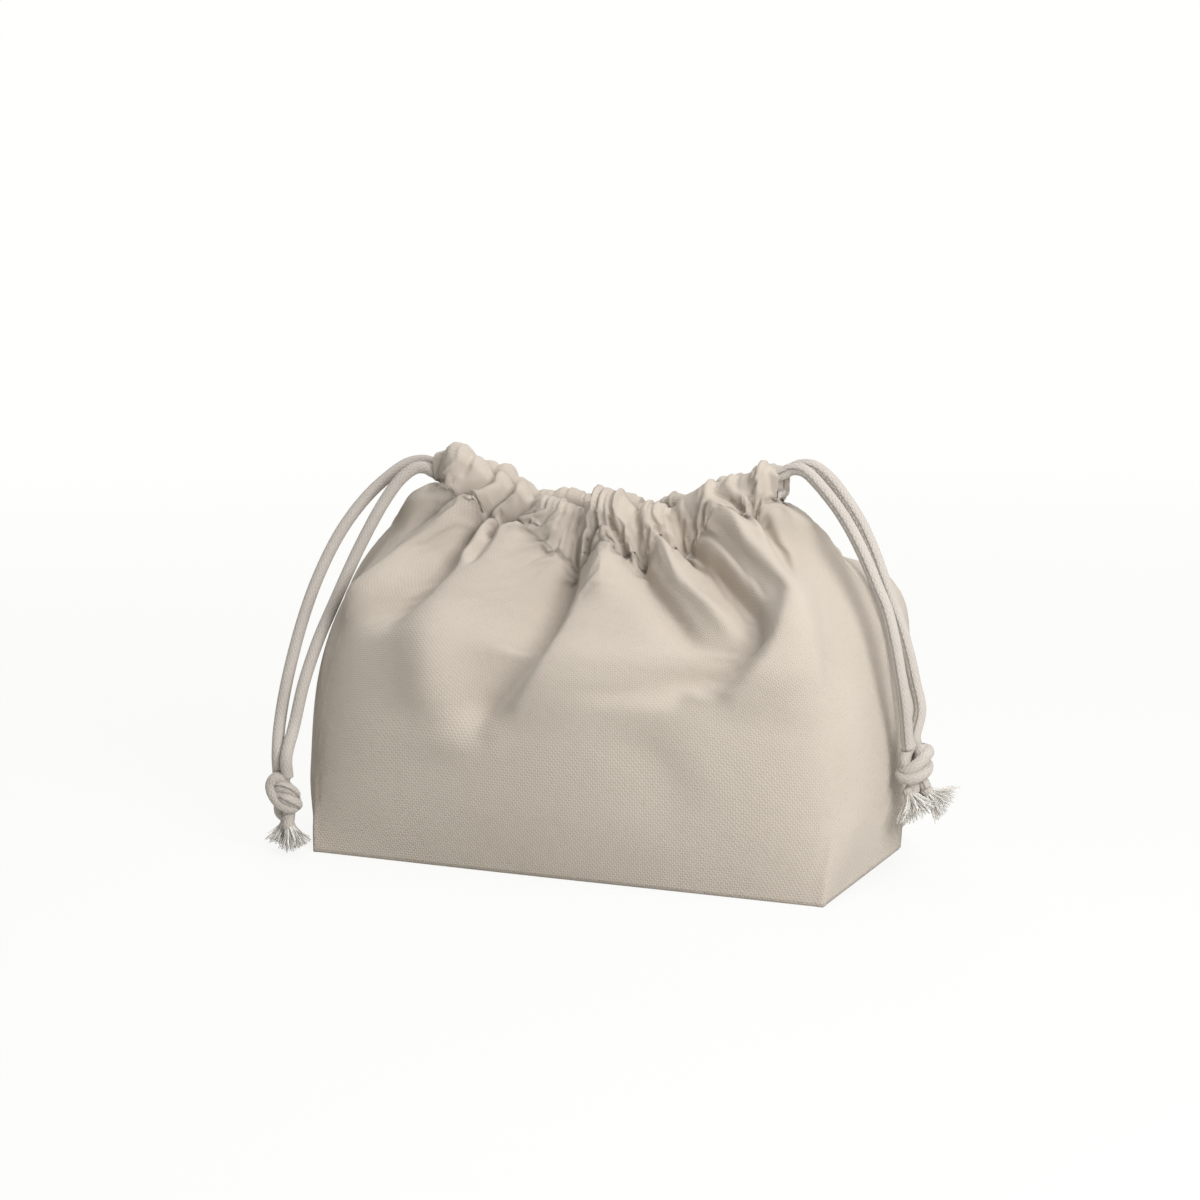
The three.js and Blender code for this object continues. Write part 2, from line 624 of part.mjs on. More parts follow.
for (const [name, cord] of Object.entries(cords)) {
  const { side, level } = cord;
  const knot = addMesh(`${name}_cord_knot`, knotGeometry(), 'cord');
  knot.position.set(...cord.knot.at);
  knot.rotation.set(...cord.knot.lean);
  knot.updateMatrixWorld();
  const seat = (front, up) => knot.localToWorld(new THREE.Vector3(0, front * strandSpread, up));
  const face = knotHeight / 2 + fitGap;

  addMesh(`${name}_cord_run`, cordTube(runPoints(side, level), runStep), 'cord');
  for (const [where, front] of [['front', -1], ['back', 1]]) {
    const start = inCasing(side * leadStart, level, front);
    const end = inCasing(side * leadEnd, level, front);
    addMesh(`${name}_cord_${where}_lead`, cordTube([start, end], 2 * cordStep), 'cord');

    const out = end.clone().sub(start).normalize();
    const root = end.clone().addScaledVector(out, fitGap);
    const route = cord[`${where}Strand`].map(vector);
    const strand = [root, ...route, seat(front, face + knotEntry), seat(front, face)];
    addMesh(`${name}_cord_${where}_strand`, cordTube(strand, cordStep), 'cord');

    const tip = vector(cord.tails[where].tip);
    const frayEnd = vector(cord.tails[where].end);
    const way = frayEnd.clone().sub(tip).normalize();
    const bend = tip.clone().addScaledVector(way, -tailExit);
    const tail = [seat(front, -face), seat(front, -face - tailExit), bend, tip];
    addMesh(`${name}_cord_${where}_tail`, cordTube(tail, cordStep / 4), 'cord');

    const length = frayEnd.distanceTo(tip);
    const fray = addMesh(`${name}_cord_${where}_fray`, frayGeometry(length), 'fray');
    fray.position.copy(tip).addScaledVector(way, 2 * fitGap);
    fray.quaternion.setFromUnitVectors(new THREE.Vector3(0, 1, 0), way);
  }
}

export default bag;
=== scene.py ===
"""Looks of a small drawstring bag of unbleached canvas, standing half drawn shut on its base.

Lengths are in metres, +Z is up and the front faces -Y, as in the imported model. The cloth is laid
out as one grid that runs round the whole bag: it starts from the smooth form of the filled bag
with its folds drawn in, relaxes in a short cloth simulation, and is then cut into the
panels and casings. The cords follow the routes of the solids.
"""

import logging
import math
from dataclasses import dataclass, field
from enum import Enum
from typing import Callable, Optional, Sequence, Union

import bpy
import numpy as np
from mathutils import Euler, Matrix, Vector


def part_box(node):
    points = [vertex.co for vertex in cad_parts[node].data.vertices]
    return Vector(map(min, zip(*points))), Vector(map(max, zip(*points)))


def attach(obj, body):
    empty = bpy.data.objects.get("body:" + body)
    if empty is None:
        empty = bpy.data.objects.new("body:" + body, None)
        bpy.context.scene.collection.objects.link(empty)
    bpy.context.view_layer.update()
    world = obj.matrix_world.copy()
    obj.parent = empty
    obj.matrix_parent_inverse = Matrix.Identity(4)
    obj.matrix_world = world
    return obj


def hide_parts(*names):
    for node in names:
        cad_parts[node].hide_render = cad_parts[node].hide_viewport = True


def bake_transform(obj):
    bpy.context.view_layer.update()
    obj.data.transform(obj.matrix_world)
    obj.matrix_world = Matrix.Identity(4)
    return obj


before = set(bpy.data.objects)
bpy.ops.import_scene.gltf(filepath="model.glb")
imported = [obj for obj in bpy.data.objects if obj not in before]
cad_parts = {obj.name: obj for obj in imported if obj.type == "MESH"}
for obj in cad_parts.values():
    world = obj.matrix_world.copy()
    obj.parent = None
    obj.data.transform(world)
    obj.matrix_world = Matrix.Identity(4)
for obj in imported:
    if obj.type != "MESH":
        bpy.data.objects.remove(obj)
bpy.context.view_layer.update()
LOG = logging.getLogger("drawstring_bag")

MM = 0.001
RIM = 0.12  # the rim's level over the stitch line's, which is 1
AZIMUTH = 20.49  # degrees to the right from which the camera and the knots' turns are seen
Points = np.ndarray
Number = Union[int, float]


class Side(Enum):
    """The front or the back of the bag, with the way that it faces along Y."""

    FRONT = -1
    BACK = 1

    @property
    def word(self) -> str:
        """The side's name as the nodes spell it."""
        return self.name.lower()


class Hand(Enum):
    """The left or right end of the bag, with its sign along X."""

    LEFT = -1
    RIGHT = 1

    @property
    def word(self) -> str:
        """The hand's name as the nodes spell it."""
        return self.name.lower()


# ---------------------------------------------------------------- arithmetic


def smooth(x: Union[Number, Points]) -> Points:
    """Eases from 0 to 1 while x goes from 0 to 1."""
    t = np.clip(x, 0.0, 1.0)
    return t * t * (3.0 - 2.0 * t)


def lerp(a: Union[Number, Points], b: Union[Number, Points], t: Union[Number, Points]) -> Points:
    """Straight mix from a to b."""
    return a + (b - a) * t


def unit(v: Points) -> Points:
    """Vectors of length 1 along the last axis."""
    return v / np.maximum(np.linalg.norm(v, axis=-1, keepdims=True), 1e-12)


def catmull(points: Points, places: Points) -> Points:
    """Runs a smooth line through points.

    Args:
        points: array (..., n, 3), the points that the line passes.
        places: values from 0 at the first point to 1 at the last.

    Returns:
        Array (..., len(places), 3).
    """
    spans = points.shape[-2] - 1
    first = 2 * points[..., :1, :] - points[..., 1:2, :]
    last = 2 * points[..., -1:, :] - points[..., -2:-1, :]
    padded = np.concatenate([first, points, last], axis=-2)
    reach = np.clip(np.asarray(places, float) * spans, 0, spans - 1e-9)
    index = reach.astype(int)
    f = (reach - index)[:, None]
    a, b, c, d = (padded[..., index + k, :] for k in range(4))
    return 0.5 * (2 * b + (c - a) * f + (2 * a - 5 * b + 4 * c - d) * f**2
                  + (3 * b - a - 3 * c + d) * f**3)


def lengths_along(line: Points) -> Points:
    """Distance along a line of points, starting at 0."""
    steps = np.linalg.norm(np.diff(line, axis=0), axis=1)
    return np.concatenate([[0.0], np.cumsum(steps)])


def evenly(line: Points, step: float) -> Points:
    """The same line with its points an even step apart."""
    along = lengths_along(line)
    count = max(2, int(round(along[-1] / step)) + 1)
    at = np.linspace(0, along[-1], count)
    return np.stack([np.interp(at, along, line[:, k]) for k in range(3)], axis=1)


def smooth_line(points: Sequence[Sequence[float]], step: float) -> Points:
    """A smooth line through a few points, with its own points a step apart."""
    listed = np.asarray(points, float)
    return evenly(catmull(listed, np.linspace(0, 1, 24 * len(listed))), step)


def refine(grid: Points, factor: int, closed: bool) -> Points:
    """Puts factor times as many columns and rows into a grid of points, on a smooth surface.

    Args:
        grid: array (columns, rows, 3).
        factor: how many steps replace one.
        closed: whether the columns run round and meet.

    Returns:
        The finer grid, without its first column again at the end where it is closed.
    """
    columns, rows = grid.shape[:2]
    ring = np.concatenate([grid[-2:], grid, grid[:3]]) if closed else grid
    shift = 2 if closed else 0
    spans = columns if closed else columns - 1
    places = np.arange(spans * factor + (0 if closed else 1)) / factor + shift
    across = catmull(np.moveaxis(ring, 0, 1), places / (len(ring) - 1))
    return catmull(np.moveaxis(across, 0, 1), np.linspace(0, 1, (rows - 1) * factor + 1))


def grid_normals(grid: Points, closed: bool = False) -> Points:
    """Outward normals of a grid whose columns run to the right and whose rows run up."""
    if closed:
        across = np.roll(grid, -1, axis=0) - np.roll(grid, 1, axis=0)
    else:
        across = np.gradient(grid, axis=0)
    return unit(np.cross(across, np.gradient(grid, axis=1)))


# -------------------------------------------------------------------- meshes


@dataclass
class Shape:
    """Vertices and faces of one piece, with the cloth's own directions on each vertex."""

    points: list = field(default_factory=list)
    faces: list = field(default_factory=list)
    grain: list = field(default_factory=list)
    count: int = 0

    def add(self, points: Points, faces: Sequence[Sequence[int]], grain: Optional[Points] = None) -> int:
        """Adds vertices and faces.

        Args:
            points: array (n, 3).
            faces: faces by vertex number, counted from the first of these points.
            grain: array (n, 2), each vertex's place on the flat cloth or round the cord.

        Returns:
            The number of the first vertex added.
        """
        start = self.count
        self.points.append(np.asarray(points, float))
        self.grain.append(np.zeros((len(points), 2)) if grain is None else np.asarray(grain, float))
        self.faces.extend([tuple(int(i) + start for i in f) for f in faces])
        self.count += len(points)
        return start

    def build(self, name: str) -> bpy.types.Object:
        """Makes the Blender object, smooth shaded, with its grain stored as a UV map."""
        points = np.concatenate(self.points)
        grain = np.concatenate(self.grain)
        mesh = bpy.data.meshes.new(name)
        mesh.from_pydata(points.tolist(), [], self.faces)
        mesh.polygons.foreach_set("use_smooth", np.ones(len(mesh.polygons), bool))
        layer = mesh.uv_layers.new(name="grain")
        corner = np.zeros(len(mesh.loops), np.int32)
        mesh.loops.foreach_get("vertex_index", corner)
        layer.data.foreach_set("uv", grain[corner].astype(np.float32).ravel())
        mesh.update()
        obj = bpy.data.objects.new(name, mesh)
        bpy.context.scene.collection.objects.link(obj)
        return obj


def grid_faces(columns: int, rows: int, closed: bool = False, flip: bool = False) -> list:
    """Quads of a grid stored column by column."""
    spans = columns if closed else columns - 1
    i, j = np.meshgrid(np.arange(spans), np.arange(rows - 1), indexing="ij")
    n = (i + 1) % columns
    quads = np.stack([i * rows + j, n * rows + j, n * rows + j + 1, i * rows + j + 1], axis=-1)
    quads = quads.reshape(-1, 4)
    return (quads[:, ::-1] if flip else quads).tolist()


def add_slab(shape: Shape, outer: Points, inner: Points, grain: Points) -> None:
    """Adds a closed layer between an outer and an inner grid of points."""
    columns, rows = outer.shape[:2]
    both = np.concatenate([outer.reshape(-1, 3), inner.reshape(-1, 3)])
    faces = grid_faces(columns, rows)
    shift = columns * rows
    faces += [[k + shift for k in f] for f in grid_faces(columns, rows, flip=True)]
    rim = [i * rows for i in range(columns)]
    rim += [(columns - 1) * rows + j for j in range(1, rows)]
    rim += [i * rows + rows - 1 for i in range(columns - 2, -1, -1)]
    rim += [j for j in range(rows - 2, 0, -1)]
    for a, b in zip(rim, rim[1:] + rim[:1]):
        faces.append([b, a, a + shift, b + shift])
    shape.add(both, faces, np.concatenate([grain.reshape(-1, 2)] * 2))


def add_tube(shape: Shape, line: Points, radius: Union[float, Points], sides: int) -> None:
    """Adds a tube with closed ends along a line.

    Args:
        shape: the piece that it joins.
        line: array (n, 3).
        radius: one radius, or one for each point.
        sides: corners of its section.
    """
    n = len(line)
    radii = np.broadcast_to(np.asarray(radius, float), (n,))
    along = unit(np.gradient(line, axis=0))
    side = np.cross(along[0], [0.0, 0.0, 1.0])
    if np.linalg.norm(side) < 0.2:
        side = np.cross(along[0], [0.0, 1.0, 0.0])
    s = np.empty_like(along)
    for k, way in enumerate(along):
        side = side - way * np.dot(side, way)
        side = side / np.linalg.norm(side)
        s[k] = side
    t = np.cross(along, s)
    angle = 2 * np.pi * np.arange(sides) / sides
    ring = s[:, None] * np.cos(angle)[None, :, None] + t[:, None] * np.sin(angle)[None, :, None]
    points = line[:, None] + ring * radii[:, None, None]
    run = lengths_along(line)
    girth = 2 * np.pi * float(np.median(radii))
    grain = np.stack(np.broadcast_arrays((angle / (2 * np.pi) * girth)[None, :], run[:, None]), axis=-1)
    faces = []
    for k in range(n - 1):
        for j in range(sides):
            m = (j + 1) % sides
            faces.append([k * sides + j, k * sides + m, (k + 1) * sides + m, (k + 1) * sides + j])
    caps = np.array([line[0], line[-1]])
    faces += [[n * sides, (j + 1) % sides, j] for j in range(sides)]
    last = (n - 1) * sides
    faces += [[n * sides + 1, last + j, last + (j + 1) % sides] for j in range(sides)]
    cap_grain = np.array([[0.0, 0.0], [0.0, run[-1]]])
    shape.add(np.concatenate([points.reshape(-1, 3), caps]), faces,
              np.concatenate([grain.reshape(-1, 2), cap_grain]))


def fit_piece(shape: Shape, name: str, material: bpy.types.Material, body: str, node: str) -> bpy.types.Object:
    """Builds a piece in its material and fits it over the solid that it stands for.

    Args:
        shape: its vertices and faces.
        name: the piece's own name.
        material: its finish.
        body: the body that it moves with.
        node: the solid that it replaces.

    Returns:
        The Blender object.
    """
    obj = shape.build(name)
    obj.data.materials.append(material)
    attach(obj, body)
    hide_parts(node)
    return obj


# ----------------------------------------------------------------- materials


def _joined(kind: str, reflected: bool = False) -> Callable:
    """A method of Signal that joins it with another value in one Math node."""

    def join(self: "Signal", other: "Operand") -> "Signal":
        """Adds the node."""
        a, b = (other, self) if reflected else (self, other)
        return self.nodes.add("ShaderNodeMath", {"operation": kind}, {0: a, 1: b})

    return join


class Signal:
    """One value, colour or vector in a material's nodes. Arithmetic on it adds Math nodes."""

    def __init__(self, nodes: "Nodes", socket: bpy.types.NodeSocket) -> None:
        """Keeps the socket and the node tree that it belongs to."""
        self.nodes = nodes
        self.socket = socket

    __add__ = _joined("ADD")
    __radd__ = _joined("ADD", reflected=True)
    __sub__ = _joined("SUBTRACT")
    __rsub__ = _joined("SUBTRACT", reflected=True)
    __mul__ = _joined("MULTIPLY")
    __rmul__ = _joined("MULTIPLY", reflected=True)
    most = _joined("MAXIMUM")

    def sine(self) -> "Signal":
        """Sine of the value in radians."""
        return self.nodes.add("ShaderNodeMath", {"operation": "SINE"}, {0: self})

    def size(self) -> "Signal":
        """The value without its sign."""
        return self.nodes.add("ShaderNodeMath", {"operation": "ABSOLUTE"}, {0: self})

    def between(self, low: float, high: float) -> "Signal":
        """Eases from 0 at low to 1 at high."""
        return self.nodes.add("ShaderNodeMapRange", {"interpolation_type": "SMOOTHSTEP"},
                              {0: self, 1: low, 2: high})


Operand = Union[Signal, Number]
Colour = tuple


class Nodes:
    """The nodes of one material."""

    def __init__(self, material: bpy.types.Material) -> None:
        """Empties the material's node tree and starts it again."""
        material.use_nodes = True
        self.tree = material.node_tree
        self.tree.nodes.clear()

    def add(self, kind: str, settings: Optional[dict] = None, inputs: Optional[dict] = None,
            output: Union[int, str] = 0) -> Optional[Signal]:
        """Adds a node.

        Args:
            kind: the node's type.
            settings: what is set on the node itself, first.
            inputs: values or signals by the name or number of a socket.
            output: which output is returned.

        Returns:
            That output as a Signal, or None for a node without outputs.
        """
        node = self.tree.nodes.new(kind)
        for key, value in (settings or {}).items():
            setattr(node, key, value)
        for key, value in (inputs or {}).items():
            if isinstance(value, Signal):
                self.tree.links.new(value.socket, node.inputs[key])
            elif isinstance(value, tuple) and len(value) == 3 and node.inputs[key].type == "RGBA":
                node.inputs[key].default_value = (*value, 1.0)
            else:
                node.inputs[key].default_value = value
        return Signal(self, node.outputs[output]) if node.outputs else None

    def grain(self) -> tuple[Signal, Signal, Signal]:
        """The place on the flat cloth, or round and along a cord, in metres.

        Returns:
            The place as a vector, its first part and its second part.
        """
        place = self.add("ShaderNodeUVMap", {"uv_map": "grain"})
        parts = self.add("ShaderNodeSeparateXYZ", {}, {0: place})
        node = parts.socket.node
        return place, Signal(self, node.outputs[0]), Signal(self, node.outputs[1])

    def stretched(self, place: Signal, by: tuple) -> Signal:
        """A vector with its three parts multiplied."""
        return self.add("ShaderNodeVectorMath", {"operation": "MULTIPLY"}, {0: place, 1: by})

    def noise(self, place: Signal, scale: float, detail: float = 2.0, rough: float = 0.5) -> Signal:
        """Soft noise from 0 to 1."""
        return self.add("ShaderNodeTexNoise", {}, {"Vector": place, "Scale": scale, "Detail": detail,
                                                   "Roughness": rough})

    def mix(self, a: Union[Signal, Colour], b: Union[Signal, Colour], share: Operand) -> Signal:
        """Mixes two colours."""
        return self.add("ShaderNodeMix", {"data_type": "RGBA"}, {"Factor": share, 6: a, 7: b}, 2)

    def where(self) -> Signal:
        """The place in the row frame, which moves with the piece."""
        return self.add("ShaderNodeTexCoord", {}, {}, "Object")

    def surface(self, colour: Union[Signal, Colour], rough: Operand, height: Signal, depth: float,
                sheen: float) -> None:
        """Ends the material in a matt shader.

        Args:
            colour: base colour.
            rough: roughness.
            height: relief from 0 to 1.
            depth: how deep that relief is, in metres.
            sheen: weight of the soft light that fibres catch.
        """
        bump = self.add("ShaderNodeBump", {}, {"Height": height, "Distance": depth, "Strength": 1.0})
        inputs = {"Base Color": colour, "Roughness": rough, "Normal": bump,
                  "Sheen Weight": sheen, "Sheen Roughness": 0.6, "Specular IOR Level": 0.25}
        shader = self.add("ShaderNodeBsdfPrincipled", {}, inputs)
        self.add("ShaderNodeOutputMaterial", {}, {"Surface": shader})


@dataclass(frozen=True)
class Finish:
    """What every finish shares: a name, and a material that its own nodes make up."""

    name: str

    def material(self) -> bpy.types.Material:
        """Builds the material."""
        material = bpy.data.materials.new(self.name)
        self.make_up(Nodes(material))
        return material

    def make_up(self, nodes: Nodes) -> None:
        """Adds the finish's nodes."""
        raise NotImplementedError


@dataclass(frozen=True)
class CanvasFinish(Finish):
    """Unbleached cotton canvas: a fine weave with slubs, flecks and soft variation."""

    colour: Colour = (0.560, 0.498, 0.428)
    shade: Colour = (0.476, 0.414, 0.344)
    pitch: float = 0.9 * MM
    fleck: Colour = (0.30, 0.21, 0.13)
    relief: float = 0.14 * MM
    sheen: float = 0.12

    def make_up(self, nodes: Nodes) -> None:
        """Adds the finish's nodes."""
        place, across, up = nodes.grain()
        turn = math.pi / self.pitch
        warp = (across * turn).sine()
        weft = (up * turn).sine()
        over = (warp * weft).between(-0.25, 0.25)
        weave = warp.size() * over + weft.size() * (1.0 - over)
        twill = ((across + up) * turn).sine() * 0.5 + 0.5
        slubs = nodes.noise(nodes.stretched(place, (220.0, 2600.0, 1.0)), 1.0, 2.0)
        ends = nodes.noise(nodes.stretched(place, (2600.0, 180.0, 1.0)), 1.0, 2.0)
        cloudy = nodes.noise(nodes.where(), 26.0, 3.0)
        crumple = nodes.noise(nodes.where(), 95.0, 2.0)
        flecks = nodes.noise(nodes.stretched(place, (1400.0, 900.0, 1.0)), 1.0, 0.0).between(0.76, 0.82)
        tone = (0.23 + 0.12 * weave + 0.12 * twill + 0.24 * slubs + 0.18 * ends
                + 0.5 * (cloudy - 0.35))
        colour = nodes.mix(self.shade, self.colour, tone.between(0.0, 1.0))
        colour = nodes.mix(colour, self.fleck, flecks * 0.35)
        height = 0.5 * weave + 0.2 * twill + 0.25 * slubs + 0.2 * ends + 1.1 * crumple
        nodes.surface(colour, 0.86 + 0.1 * slubs, height, self.relief * 2, self.sheen)


@dataclass(frozen=True)
class CordFinish(Finish):
    """Soft braided cotton cord."""

    colour: Colour = (0.530, 0.487, 0.440)
    shade: Colour = (0.400, 0.356, 0.308)
    strands: int = 10
    slant: float = 0.62
    girth: float = math.pi * 5 * MM
    relief: float = 0.22 * MM

    def make_up(self, nodes: Nodes) -> None:
        """Adds the finish's nodes."""
        place, around, along = nodes.grain()
        pitch = math.pi * self.strands / self.girth
        turn = around * pitch
        run = along * (pitch * self.slant)
        left = (turn + run).sine()
        right = (turn - run).sine()
        over = (left * right).between(-0.2, 0.2)
        braid = left.size() * over + right.size() * (1.0 - over)
        fibres = nodes.noise(nodes.stretched(place, (3200.0, 700.0, 1.0)), 1.0, 2.0)
        cloudy = nodes.noise(nodes.where(), 60.0, 2.0)
        tone = 0.42 * braid + 0.34 * fibres + 0.35 * (cloudy - 0.4) + 0.22
        colour = nodes.mix(self.shade, self.colour, tone.between(0.0, 0.95))
        nodes.surface(colour, 0.88, 0.8 * braid + 0.3 * fibres, self.relief, 0.25)


@dataclass(frozen=True)
class FibreFinish(Finish):
    """Loose cotton fibre, for the frayed ends, and sewing thread."""

    colour: Colour = (0.86, 0.84, 0.80)
    shade: Colour = (0.76, 0.73, 0.68)
    relief: float = 0.05 * MM

    def make_up(self, nodes: Nodes) -> None:
        """Adds the finish's nodes."""
        place, around, along = nodes.grain()
        twist = ((around * 9000.0) + (along * 5200.0)).sine() * 0.5 + 0.5
        fuzz = nodes.noise(nodes.where(), 900.0, 2.0)
        colour = nodes.mix(self.shade, self.colour, (0.5 * twist + 0.6 * fuzz).between(0.1, 0.9))
        nodes.surface(colour, 0.9, twist + fuzz, self.relief, 0.3)


# ---------------------------------------------------------------------- cloth


@dataclass(frozen=True)
class Fold:
    """A ridge, or with a negative height a valley, that runs up the cloth.

    Each point of its line is a level, from 0 at the base over 1 at the stitch line to 1.12 at the
    rim, and a place across the panel, from -1 at the left seam to 1 at the right one. Each side
    has a width at the line's low end and one at its top, or one for both. The fold comes up over
    rise, and where it has an end it dies out there over fade. Flow is the share of the height that
    is left above the stitch line and rim the share that is left at the rim. Pinch is how much
    further the thread draws a valley in at the stitch line, and brace how much further a roll
    stands out there.
    """

    line: tuple
    height: float
    left: Union[tuple, float]
    right: Union[tuple, float]
    rise: float = 0.12
    flow: float = 1.0
    end: float = 0.0
    fade: float = 0.12
    pinch: float = 0.0
    brace: float = 0.0
    rim: float = 0.45

    def over(self, across: Points, levels: Points) -> Points:
        """How far the fold lifts the cloth, in mm, over a grid of places and levels."""
        marks = np.array(self.line)
        centre = np.interp(levels, marks[:, 0], marks[:, 1])
        way = smooth((levels - marks[0, 0]) / (marks[-1, 0] - marks[0, 0]))
        strength = smooth((levels - marks[0, 0] + self.rise / 2) / self.rise)
        strength = strength * lerp(1.0, self.flow, smooth((levels - 0.93) / 0.06))
        strength = strength * lerp(1.0, self.rim, smooth((levels - 1.0) / RIM))
        if self.end:
            strength = strength * smooth((self.end - levels) / self.fade)
        away = across[:, None] - centre[None, :]
        left, right = (lerp(*np.broadcast_to(width, 2), way)[None, :] for width in (self.left, self.right))
        away = np.where(away < 0, away / left, away / right)
        drawn = np.exp(-(((levels - 0.985) / 0.04) ** 2))
        past = (levels - 1.0) / np.where(levels < 1.0, 0.08, 0.06)
        height = self.height * strength - self.pinch * drawn + self.brace * np.exp(-(past**2))
        return np.exp(-(away**2)) * height[None, :]


FRONT_FOLDS = (
    Fold(((0.29, -0.16), (0.39, -0.11), (0.51, -0.06), (0.67, -0.045), (0.89, -0.045), (1.01, -0.06),
          (1.12, -0.07)), -9.5, (0.10, 0.035), (0.030, 0.022), 0.10, 0.6, pinch=5.5),
    Fold(((0.28, -0.20), (0.34, -0.23), (0.51, -0.28), (0.70, -0.29), (0.89, -0.33), (1.02, -0.32),
          (1.12, -0.25)), 6.0, (0.07, 0.05), (0.06, 0.13), 0.16, brace=3.5),
    Fold(((0.36, -0.06), (0.44, -0.03), (0.58, 0.0), (0.75, 0.02), (0.93, 0.05), (1.08, 0.08)),
         5.5, (0.03, 0.05), (0.14, 0.06), 0.16, 0.9, end=1.095, fade=0.035, rim=0.8),
    Fold(((0.76, 0.07), (0.93, 0.07), (1.06, 0.08)), 4.0, 0.05, 0.05, 0.16, 0.9,
         end=1.095, fade=0.035, rim=0.8),
    Fold(((1.085, 0.07), (1.12, 0.07)), 9.0, 0.10, 0.09, 0.015, rim=0.9),
    Fold(((0.98, -0.040), (1.05, -0.025), (1.12, 0.01)), 5.0, (0.014, 0.02), (0.014, 0.02), 0.04,
         rim=0.9),
    Fold(((0.95, 0.178), (1.05, 0.170), (1.12, 0.14)), 5.0, (0.016, 0.02), (0.016, 0.02), 0.04, rim=0.9),
    Fold(((0.58, 0.25), (0.68, 0.22), (0.82, 0.19), (0.93, 0.178), (1.0, 0.205), (1.12, 0.215)),
         -6.5, (0.05, 0.024), (0.035, 0.02), 0.14, 0.7, pinch=5.5),
    Fold(((0.62, 0.33), (0.70, 0.32), (0.82, 0.28), (0.94, 0.27), (1.04, 0.27), (1.12, 0.26)),
         5.0, (0.03, 0.035), 0.03, 0.16, brace=3.0),
    Fold(((0.90, 0.335), (1.03, 0.335), (1.12, 0.315)), 2.5, 0.014, 0.014, 0.08),
    Fold(((0.40, 0.22), (0.43, 0.28), (0.48, 0.32), (0.59, 0.375), (0.73, 0.405), (0.81, 0.385),
          (0.93, 0.37), (1.05, 0.385), (1.12, 0.365)), -10.0, (0.13, 0.03), (0.030, 0.026), 0.10,
         0.7, pinch=5.5),
    Fold(((0.42, 0.34), (0.52, 0.41), (0.65, 0.47), (0.74, 0.53), (0.84, 0.535), (0.94, 0.54),
          (1.05, 0.53), (1.12, 0.50)), 7.5, (0.030, 0.07), (0.16, 0.09), 0.16, brace=4.5),
    Fold(((0.58, -0.50), (0.70, -0.49), (0.83, -0.53), (0.92, -0.55), (1.03, -0.57), (1.12, -0.49)),
         5.0, (0.08, 0.065), (0.07, 0.05), 0.16, brace=4.0),
    Fold(((0.56, -0.37), (0.66, -0.355), (0.80, -0.355), (0.88, -0.39), (0.94, -0.44), (1.03, -0.515),
          (1.11, -0.455)), -7.5, (0.06, 0.028), (0.03, 0.02), 0.16, 0.7, pinch=4.5),
    Fold(((0.80, -0.33), (0.84, -0.35), (0.92, -0.40), (1.02, -0.46), (1.12, -0.405)),
         4.5, (0.02, 0.026), (0.02, 0.026), 0.1),
    Fold(((0.82, -0.31), (0.91, -0.335), (0.97, -0.39), (1.01, -0.42), (1.10, -0.36)),
         -4.5, 0.02, (0.015, 0.018), 0.12, 0.8, pinch=4.5),
    Fold(((0.87, 0.62), (0.98, 0.73), (1.05, 0.75), (1.12, 0.64)), 3.5, 0.03, 0.03, 0.1),
    Fold(((0.78, 0.62), (0.86, 0.65), (0.99, 0.80), (1.06, 0.80), (1.12, 0.77)),
         -4.5, (0.05, 0.035), (0.04, 0.03), 0.12, 0.8, pinch=3.0),
    Fold(((0.86, 0.91), (1.12, 0.88)), 4.5, (0.10, 0.11), 0.10, 0.14, brace=1.0, rim=1.0),
    Fold(((0.84, -0.86), (1.12, -0.78)), 6.0, (0.14, 0.15), (0.14, 0.15), 0.14, brace=1.0, rim=1.0),
    Fold(((0.84, -0.70), (0.93, -0.70), (1.03, -0.66), (1.12, -0.56)), -4.0, (0.05, 0.025),
         (0.04, 0.025), 0.12, 0.9, pinch=3.0, rim=0.9),
    Fold(((0.14, 0.20), (0.22, 0.21), (0.29, 0.17)), -1.8, (0.08, 0.07), (0.06, 0.05), 0.14, end=0.38),
    Fold(((0.05, -0.10), (0.40, 0.10)), 2.5, (0.25, 0.30), 0.3, 0.2, end=0.6),
    Fold(((0.08, -0.50), (0.45, -0.52)), -4.0, (0.14, 0.12), 0.12, 0.2, end=0.66, fade=0.2),
    Fold(((0.08, 0.52), (0.45, 0.54)), -3.0, (0.16, 0.14), 0.14, 0.2, end=0.72, fade=0.25),
)

SEAM_CREASES = tuple(Fold(((0.0, seam), (1.0, seam)), -0.8, 0.008, 0.008, 0.1)
                     for seam in (-1.0, 1.0))

